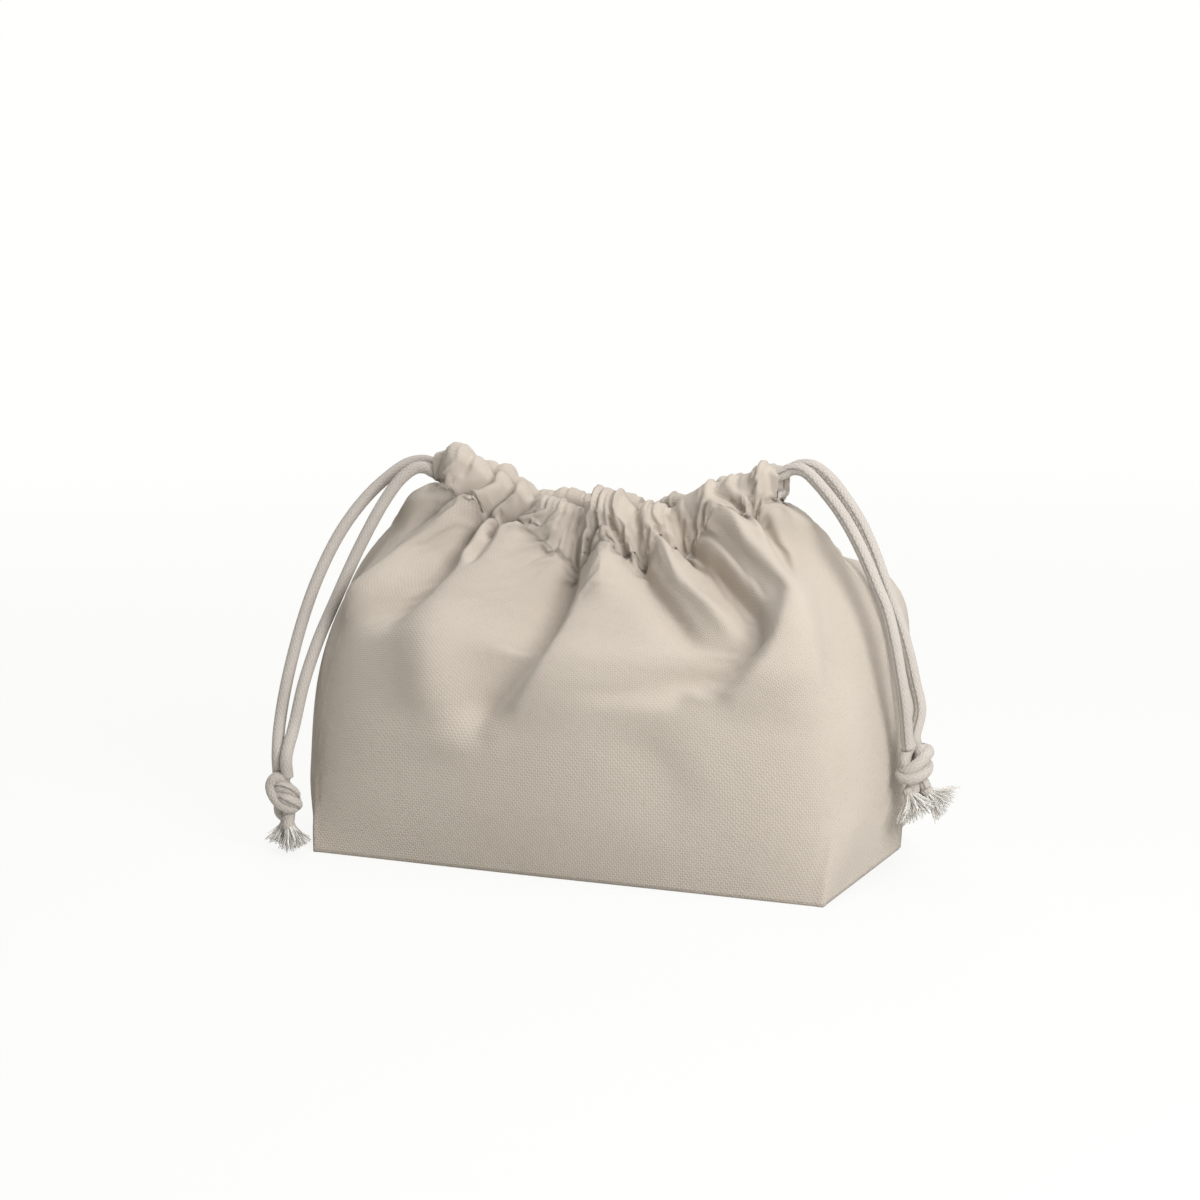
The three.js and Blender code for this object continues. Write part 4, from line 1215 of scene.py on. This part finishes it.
@dataclass
class DrawCord:
    """One drawstring: its run in the casings, two strands, the knot, two tails and two frays.

    Places are in mm. The routes run from the casing's mouth to the knot. Tightness is how far the
    knot's turns are drawn in, sideways, away and up, entry how far above the knot its strands come
    straight, and flare how wide the fibres spread. The field bend_reach is not used.
    """

    hand: Hand
    level: float
    back_route: tuple
    front_route: tuple
    knot_at: tuple
    knot_lean: tuple
    turns: tuple
    tails: dict
    form: FilledForm = field(default_factory=FilledForm)
    diameter: float = 5.0 * MM
    lead_places: tuple = (48.5, 57, 66, 75.0)
    bend_reach: float = 30.0
    knot_height: float = 15.5
    gap: float = 0.3
    entry: float = 8.0
    seen_from: float = math.radians(AZIMUTH)
    tightness: tuple = (0.84, 0.84, 0.95)
    turn_radius: float = 2.4
    flare: float = 4.6
    fibres: int = 230
    fibre_radius: float = 0.17

    def _in_casing(self, x: float, side: Side) -> list:
        """A place on the cord inside a casing, in mm."""
        return [x, side.value * float(self.form.casing_out(x)),
                float(self.form.casing_up(x)) + self.level]

    def _knot_frame(self) -> Matrix:
        """The knot's own axes and place, in mm."""
        return Matrix.Translation(self.knot_at) @ Euler(self.knot_lean, "ZYX").to_matrix().to_4x4()

    def _seat(self, side: Side, up: float) -> list:
        """Where a strand meets the knot, in mm."""
        spread = (self.diameter / MM + self.gap) / 2
        return list(self._knot_frame() @ Vector((0, side.value * spread, up)))

    def strand_line(self, side: Side) -> Points:
        """The whole stretch from inside the casing to the knot, in metres."""
        x = self.hand.value
        face = self.knot_height / 2 + self.gap
        route = self.front_route if side is Side.FRONT else self.back_route
        lead = [self._in_casing(x * at, side) for at in self.lead_places]
        listed = [*lead, *route, self._seat(side, face + self.entry), self._seat(side, face - 1.0)]
        return smooth_line(listed, 1.0) * MM

    def build(self, cord: bpy.types.Material, fibre: bpy.types.Material) -> None:
        """Makes every piece of the cord."""
        knot = self._knot(cord)
        for side in Side:
            self._strand(side, cord, knot)
            self._tail(side, cord, fibre)
        run = Shape()
        add_tube(run, self._run_line(), self.diameter / 2, 12)
        word = self.hand.word
        fit_piece(run, f"{word}_hidden_run", cord, "root", f"{word}_cord_run")

    def _strand(self, side: Side, cord: bpy.types.Material, knot: bpy.types.Object) -> None:
        """Makes one strand, from inside the casing to the knot."""
        word, strand = f"{self.hand.word}_cord", f"{self.hand.word}_{side.word}_strand"
        line = self.strand_line(side)
        shape = Shape()
        add_tube(shape, line, self.diameter / 2, 20)
        obj = shape.build(strand)
        obj.data.materials.append(cord)
        mouth = self._in_casing(self.hand.value * self.form.casing_half_length, side)
        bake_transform(obj)
        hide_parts(f"{word}_{side.word}_lead", f"{word}_{side.word}_strand")

    def _run_line(self) -> Points:
        """The run through both casings and round the far end, in metres."""
        x = self.hand.value
        near, far = x * (self.lead_places[0] - self.gap), -x * (self.form.casing_half_length + 1)
        places = np.linspace(near, far, 24)
        front = [self._in_casing(p, Side.FRONT) for p in places]
        back = [self._in_casing(p, Side.BACK) for p in places[::-1]]
        neck = self.form.neck_half_width
        turn = []
        for angle in np.linspace(0, np.pi, 8)[1:-1]:
            reach = abs(far) + neck * math.sin(angle)
            turn.append([-x * reach, -neck * math.cos(angle),
                         float(self.form.casing_up(reach)) + self.level])
        return smooth_line([*front, *turn, *back], 2.0) * MM

    def _knot(self, material: bpy.types.Material) -> bpy.types.Object:
        """Makes the overhand knot of the doubled cord."""
        shape = Shape()
        for turn in self.turns:
            add_tube(shape, turn.line() * self.tightness, self.turn_radius, 16)
        cos, sin = math.cos(self.seen_from), math.sin(self.seen_from)
        turned = np.array([[cos, sin, 0], [-sin, cos, 0], [0, 0, 1]])
        shape.points = [(p @ turned + self.knot_at) * MM for p in shape.points]
        shape.grain = [g * MM for g in shape.grain]
        word = self.hand.word
        return fit_piece(shape, f"{word}_overhand_knot", material, f"{word}_cord_drop", f"{word}_cord_knot")

    def _tail(self, side: Side, cord: bpy.types.Material, fibre: bpy.types.Material) -> None:
        """Makes one tail below the knot and its frayed end."""
        word, drop = f"{self.hand.word}_{side.word}", f"{self.hand.word}_cord_drop"
        node = f"{self.hand.word}_cord_{side.word}"
        tail = self.tails[side]
        tip, end = np.array(tail.tip), np.array(tail.end)
        way = unit(end - tip)
        face = -self.knot_height / 2
        listed = [self._seat(side, face + 3), self._seat(side, face - 2), list(tip - 3 * way), list(tip)]
        shape = Shape()
        add_tube(shape, smooth_line(listed, 0.7) * MM, self.diameter / 2, 18)
        fit_piece(shape, f"{word}_tail", cord, drop, f"{node}_tail")
        tuft = self._tuft(tip, end, 11 * (self.hand.value + 2) + side.value)
        fit_piece(tuft, f"{word}_frayed_end", fibre, drop, f"{node}_fray")

    def _tuft(self, tip: Points, end: Points, seed: int) -> Shape:
        """Loose fibres that spread from the cord's tip, every third one twice as thick."""
        rng = np.random.default_rng(seed)
        way = unit(end - tip)
        length = float(np.linalg.norm(end - tip)) + 1.8
        side = unit(np.cross(way, [0.2, 0.9, 0.35]))
        other = np.cross(way, side)
        shape = Shape()
        steps = np.linspace(0, 1, 8)
        for number in range(self.fibres):
            thick = number % 3 == 0
            angle, reach = rng.uniform(0, 2 * np.pi), math.sqrt(rng.uniform(0, 1))
            out = side * math.cos(angle) + other * math.sin(angle)
            root = tip - 1.6 * way + out * reach * 2.2
            long = length * rng.uniform(0.72, 1.0) * (1 - 0.12 * reach)
            wave = np.sin(steps * rng.uniform(4, 9) + rng.uniform(0, 6)) * steps * rng.uniform(0.15, 0.6)
            across = unit(np.cross(way, rng.normal(0, 1, 3)))
            line = (root + np.outer(steps, way) * long + np.outer(steps**1.3, out) * reach * self.flare
                    + np.outer(wave, across) + np.outer(steps**2, rng.normal(0, 0.5, 3)))
            line[:, 2] = np.maximum(line[:, 2], 0.3)
            radius = self.fibre_radius * (2 if thick else 1)
            add_tube(shape, line * MM, np.linspace(radius, radius * 0.6, 8) * MM, 5 if thick else 4)
        return shape


LEFT_CORD = DrawCord(
    hand=Hand.LEFT,
    level=-3.6,
    back_route=(
        (-79.5, 4.9, 153.7), (-84.5, 4.2, 154.6), (-90.5, 2.2, 153), (-97, -1.5, 148),
        (-104, -6.5, 140.5), (-110.5, -12.5, 130.5), (-115.5, -19, 119), (-119.5, -27, 104.5),
        (-122, -35.5, 88.5), (-124, -44, 69), (-124.6, -50.5, 52)),
    front_route=(
        (-79, -5.2, 153.2), (-83.5, -6.4, 152.4), (-89, -8.9, 147.4), (-94.5, -12.5, 138.4),
        (-99.5, -16.8, 127.5), (-104, -22, 115.5), (-108.5, -30, 100), (-112.5, -38.5, 84.5),
        (-115.6, -46, 68), (-117.2, -52, 52)),
    knot_at=(-119.6, -58.2, 25.2),
    knot_lean=(0.12, 0.04, 1.2),
    turns=(
        Turn(((0.8, -2.6, 6.4), (-3.4, -3.6, 6.6), (-5.6, -3.4, 3.6), (-5.0, -4.0, 0.2), (-2.6, -4.6, -3.2),
              (1.0, -4.6, -5.6), (4.6, -2.8, -6.6), (5.6, 1.0, -5.0), (3.0, 4.0, -1.0),
              (-1.0, 4.4, 3.0)), True),
        Turn(((-3.2, -1.6, 1.0), (-0.8, -5.0, 3.2), (2.8, -4.8, 2.2), (5.2, -2.4, -0.4), (4.6, 1.6, -2.4),
              (0.0, 3.6, -3.2), (-3.6, 1.6, -1.6)), True),
        Turn(((-2.4, -2.8, -0.6), (1.4, -5.8, -1.8), (5.0, -4.4, -3.8), (6.4, -1.0, -5.8), (4.4, 2.4, -5.2),
              (0.0, 3.4, -2.6)), True),
        Turn(((-1.0, 0.4, 9.0), (0.4, 0.0, 4.0), (1.0, 0.0, -2.0))),
        Turn(((2.6, -0.6, -4.0), (3.3, -1.2, -9.5))),
    ),
    tails={Side.FRONT: TailEnd((-115.4, -60.6, 10.0), (-111.6, -61.4, 2.6)),
           Side.BACK: TailEnd((-120.2, -56.2, 10.0), (-121.6, -57.4, 2.0))},
)

RIGHT_CORD = DrawCord(
    hand=Hand.RIGHT,
    level=3.6,
    back_route=(
        (79.5, 4.9, 160.7), (85, 4.3, 160.4), (91.5, 3.4, 156.2), (98, 2.4, 149),
        (104.4, 1.4, 140.4), (109.8, 0.2, 130.6), (114.2, -1, 120.6), (119, -2.8, 110),
        (123.2, -4.4, 100.6), (126.8, -5.6, 90), (129.8, -6.6, 79), (132.4, -8, 69)),
    front_route=(
        (79, -5.2, 160.6), (84.5, -6.4, 159.8), (91.5, -8.8, 154.4), (99.6, -12, 146.4),
        (106.4, -14.8, 137.6), (112, -17, 128.4), (117, -19.2, 119), (121.6, -21, 110),
        (125, -21.8, 98), (127.4, -21.2, 85), (128.8, -18.4, 72)),
    knot_at=(131.6, -12, 48),
    knot_lean=(0.1, -0.12, -0.33),
    entry=3.0,
    tightness=(0.76, 0.8, 0.92),
    flare=6.6,
    turns=(
        Turn(((7.0, 0.0, 5.4), (5.4, -3.8, 4.6), (1.0, -5.4, 1.2), (-3.6, -4.4, -1.8), (-5.6, -0.8, -2.6),
              (-3.6, 4.0, -0.6), (2.0, 5.2, 3.4), (6.2, 3.4, 5.6)), True),
        Turn(((6.8, 0.0, -0.8), (5.2, -4.4, -2.2), (0.4, -6.2, -4.2), (-4.4, -5.0, -5.2), (-6.8, -1.2, -4.4),
              (-4.4, 3.8, -3.0), (2.0, 5.2, -1.4), (6.0, 3.4, -0.4)), True),
        Turn(((-1.2, 0.0, 9.0), (-4.0, -1.8, 6.2), (-5.2, -2.6, 2.4), (-4.4, -1.4, -1.2), (-2.0, 1.6, -3.0))),
        Turn(((2.6, -0.6, 9.0), (2.8, -0.8, 4.0), (2.4, 0.0, -1.0))),
        Turn(((0.6, 0.4, -1.0), (3.4, -0.6, -5.6), (6.0, -0.8, -10.0))),
    ),
    tails={Side.FRONT: TailEnd((131.8, -15.4, 35.2), (136.4, -17.4, 28)),
           Side.BACK: TailEnd((138.4, -10.6, 36.2), (146, -10.8, 31.6))},
)


# --------------------------------------------------------------------- studio


@dataclass(frozen=True)
class Lamp:
    """One soft round lamp: where it stands and aims, its size in metres and its power in watts."""

    name: str
    place: tuple
    size: float
    power: float
    aim: tuple = (0, 0, 0.08)

    def light(self) -> None:
        """Adds the lamp."""
        data = bpy.data.lights.new(self.name, "AREA")
        data.shape = "DISK"
        data.size = self.size
        data.energy = self.power
        obj = bpy.data.objects.new(self.name, data)
        bpy.context.scene.collection.objects.link(obj)
        obj.location = self.place
        obj.rotation_mode = "QUATERNION"
        obj.rotation_quaternion = (Vector(self.aim) - Vector(self.place)).to_track_quat("-Z", "Y")


@dataclass
class Studio:
    """Camera, lamps, pale floor and white surroundings.

    Near the bag floor_white is the share of the floor that shows plain white, since the rest has
    to keep the shadow. It grows to the whole between the two distances of whitens, in metres.
    """

    azimuth: float = AZIMUTH
    elevation: float = 11.0
    distance: float = 1.0999
    target: tuple = (-0.00369, 0.0, 0.10184)
    lens: float = 81.0
    lamps: tuple = (
        Lamp("key", (0.61, -0.47, 0.52), 0.5, 6.7, (0.02, 0, 0.08)),
        Lamp("fill", (-1.2, -1.3, 0.5), 1.3, 0.9),
        Lamp("top", (0.1, 0.1, 1.7), 1.4, 14.0),
        Lamp("back", (-0.7, 1.3, 0.8), 1.0, 7.0),
    )
    floor_reach: float = 6.0
    floor_white: float = 0.90
    whitens: tuple = (0.4, 1.3)
    white: Colour = (1.0, 1.0, 0.985)

    def camera(self) -> None:
        """Sets up the camera at the photograph's place."""
        data = bpy.data.cameras.new("camera")
        data.lens = self.lens
        data.sensor_width = 36.0
        data.clip_start, data.clip_end = 0.01, 50.0
        obj = bpy.data.objects.new("camera", data)
        bpy.context.scene.collection.objects.link(obj)
        a, e = math.radians(self.azimuth), math.radians(self.elevation)
        back = Vector((math.sin(a) * math.cos(e), -math.cos(a) * math.cos(e), math.sin(e)))
        obj.location = Vector(self.target) + back * self.distance
        obj.rotation_mode = "QUATERNION"
        obj.rotation_quaternion = (-back).to_track_quat("-Z", "Y")
        bpy.context.scene.camera = obj

    def _white(self, nodes: Nodes) -> Signal:
        """1 on rays that should see plain white: the camera's, reflections and glass."""
        seen = nodes.add("ShaderNodeLightPath", {}, {}, "Is Camera Ray")
        outputs = seen.socket.node.outputs
        glossy, through = (Signal(nodes, outputs[f"Is {kind} Ray"]) for kind in ("Glossy", "Transmission"))
        return seen.most(glossy).most(through)

    def surroundings(self) -> None:
        """Builds the floor and the world."""
        floor = Shape()
        half = self.floor_reach
        corners = np.array([[-half, -half, 0], [half, -half, 0], [half, half, 0], [-half, half, 0]])
        floor.add(corners, [[0, 1, 2, 3]])
        obj = floor.build("studio_floor")
        material = bpy.data.materials.new("pale_floor")
        nodes = Nodes(material)
        pale = nodes.add("ShaderNodeBsdfDiffuse", {}, {"Color": (0.68, 0.68, 0.67)})
        white = nodes.add("ShaderNodeEmission", {}, {"Color": self.white, "Strength": 1.0})
        away = nodes.add("ShaderNodeVectorMath", {"operation": "LENGTH"}, {0: nodes.where()}, "Value")
        share = self.floor_white + (1 - self.floor_white) * away.between(*self.whitens)
        mixed = nodes.add("ShaderNodeMixShader", {}, {0: self._white(nodes) * share, 1: pale, 2: white})
        nodes.add("ShaderNodeOutputMaterial", {}, {"Surface": mixed})
        obj.data.materials.append(material)
        world = bpy.data.worlds.new("studio")
        bpy.context.scene.world = world
        nodes = Nodes(world)
        dim = nodes.add("ShaderNodeBackground", {}, {"Color": (1.0, 0.99, 0.97), "Strength": 0.27})
        bright = nodes.add("ShaderNodeBackground", {}, {"Color": self.white, "Strength": 1.0})
        mixed = nodes.add("ShaderNodeMixShader", {}, {0: self._white(nodes), 1: dim, 2: bright})
        nodes.add("ShaderNodeOutputWorld", {}, {"Surface": mixed})
        bpy.context.scene.view_settings.view_transform = "Standard"


def main() -> None:
    """Builds the whole scene."""
    logging.basicConfig(level=logging.INFO, format="%(name)s: %(message)s")
    studio = Studio()
    studio.camera()
    cord = CordFinish("cotton_cord").material()
    fibre = FibreFinish("loose_fibre").material()
    for draw_cord in (LEFT_CORD, RIGHT_CORD):
        draw_cord.build(cord, fibre)
    BagBody().build()
    studio.surroundings()
    for lamp in studio.lamps:
        lamp.light()


if __name__ == "__main__":
    main()
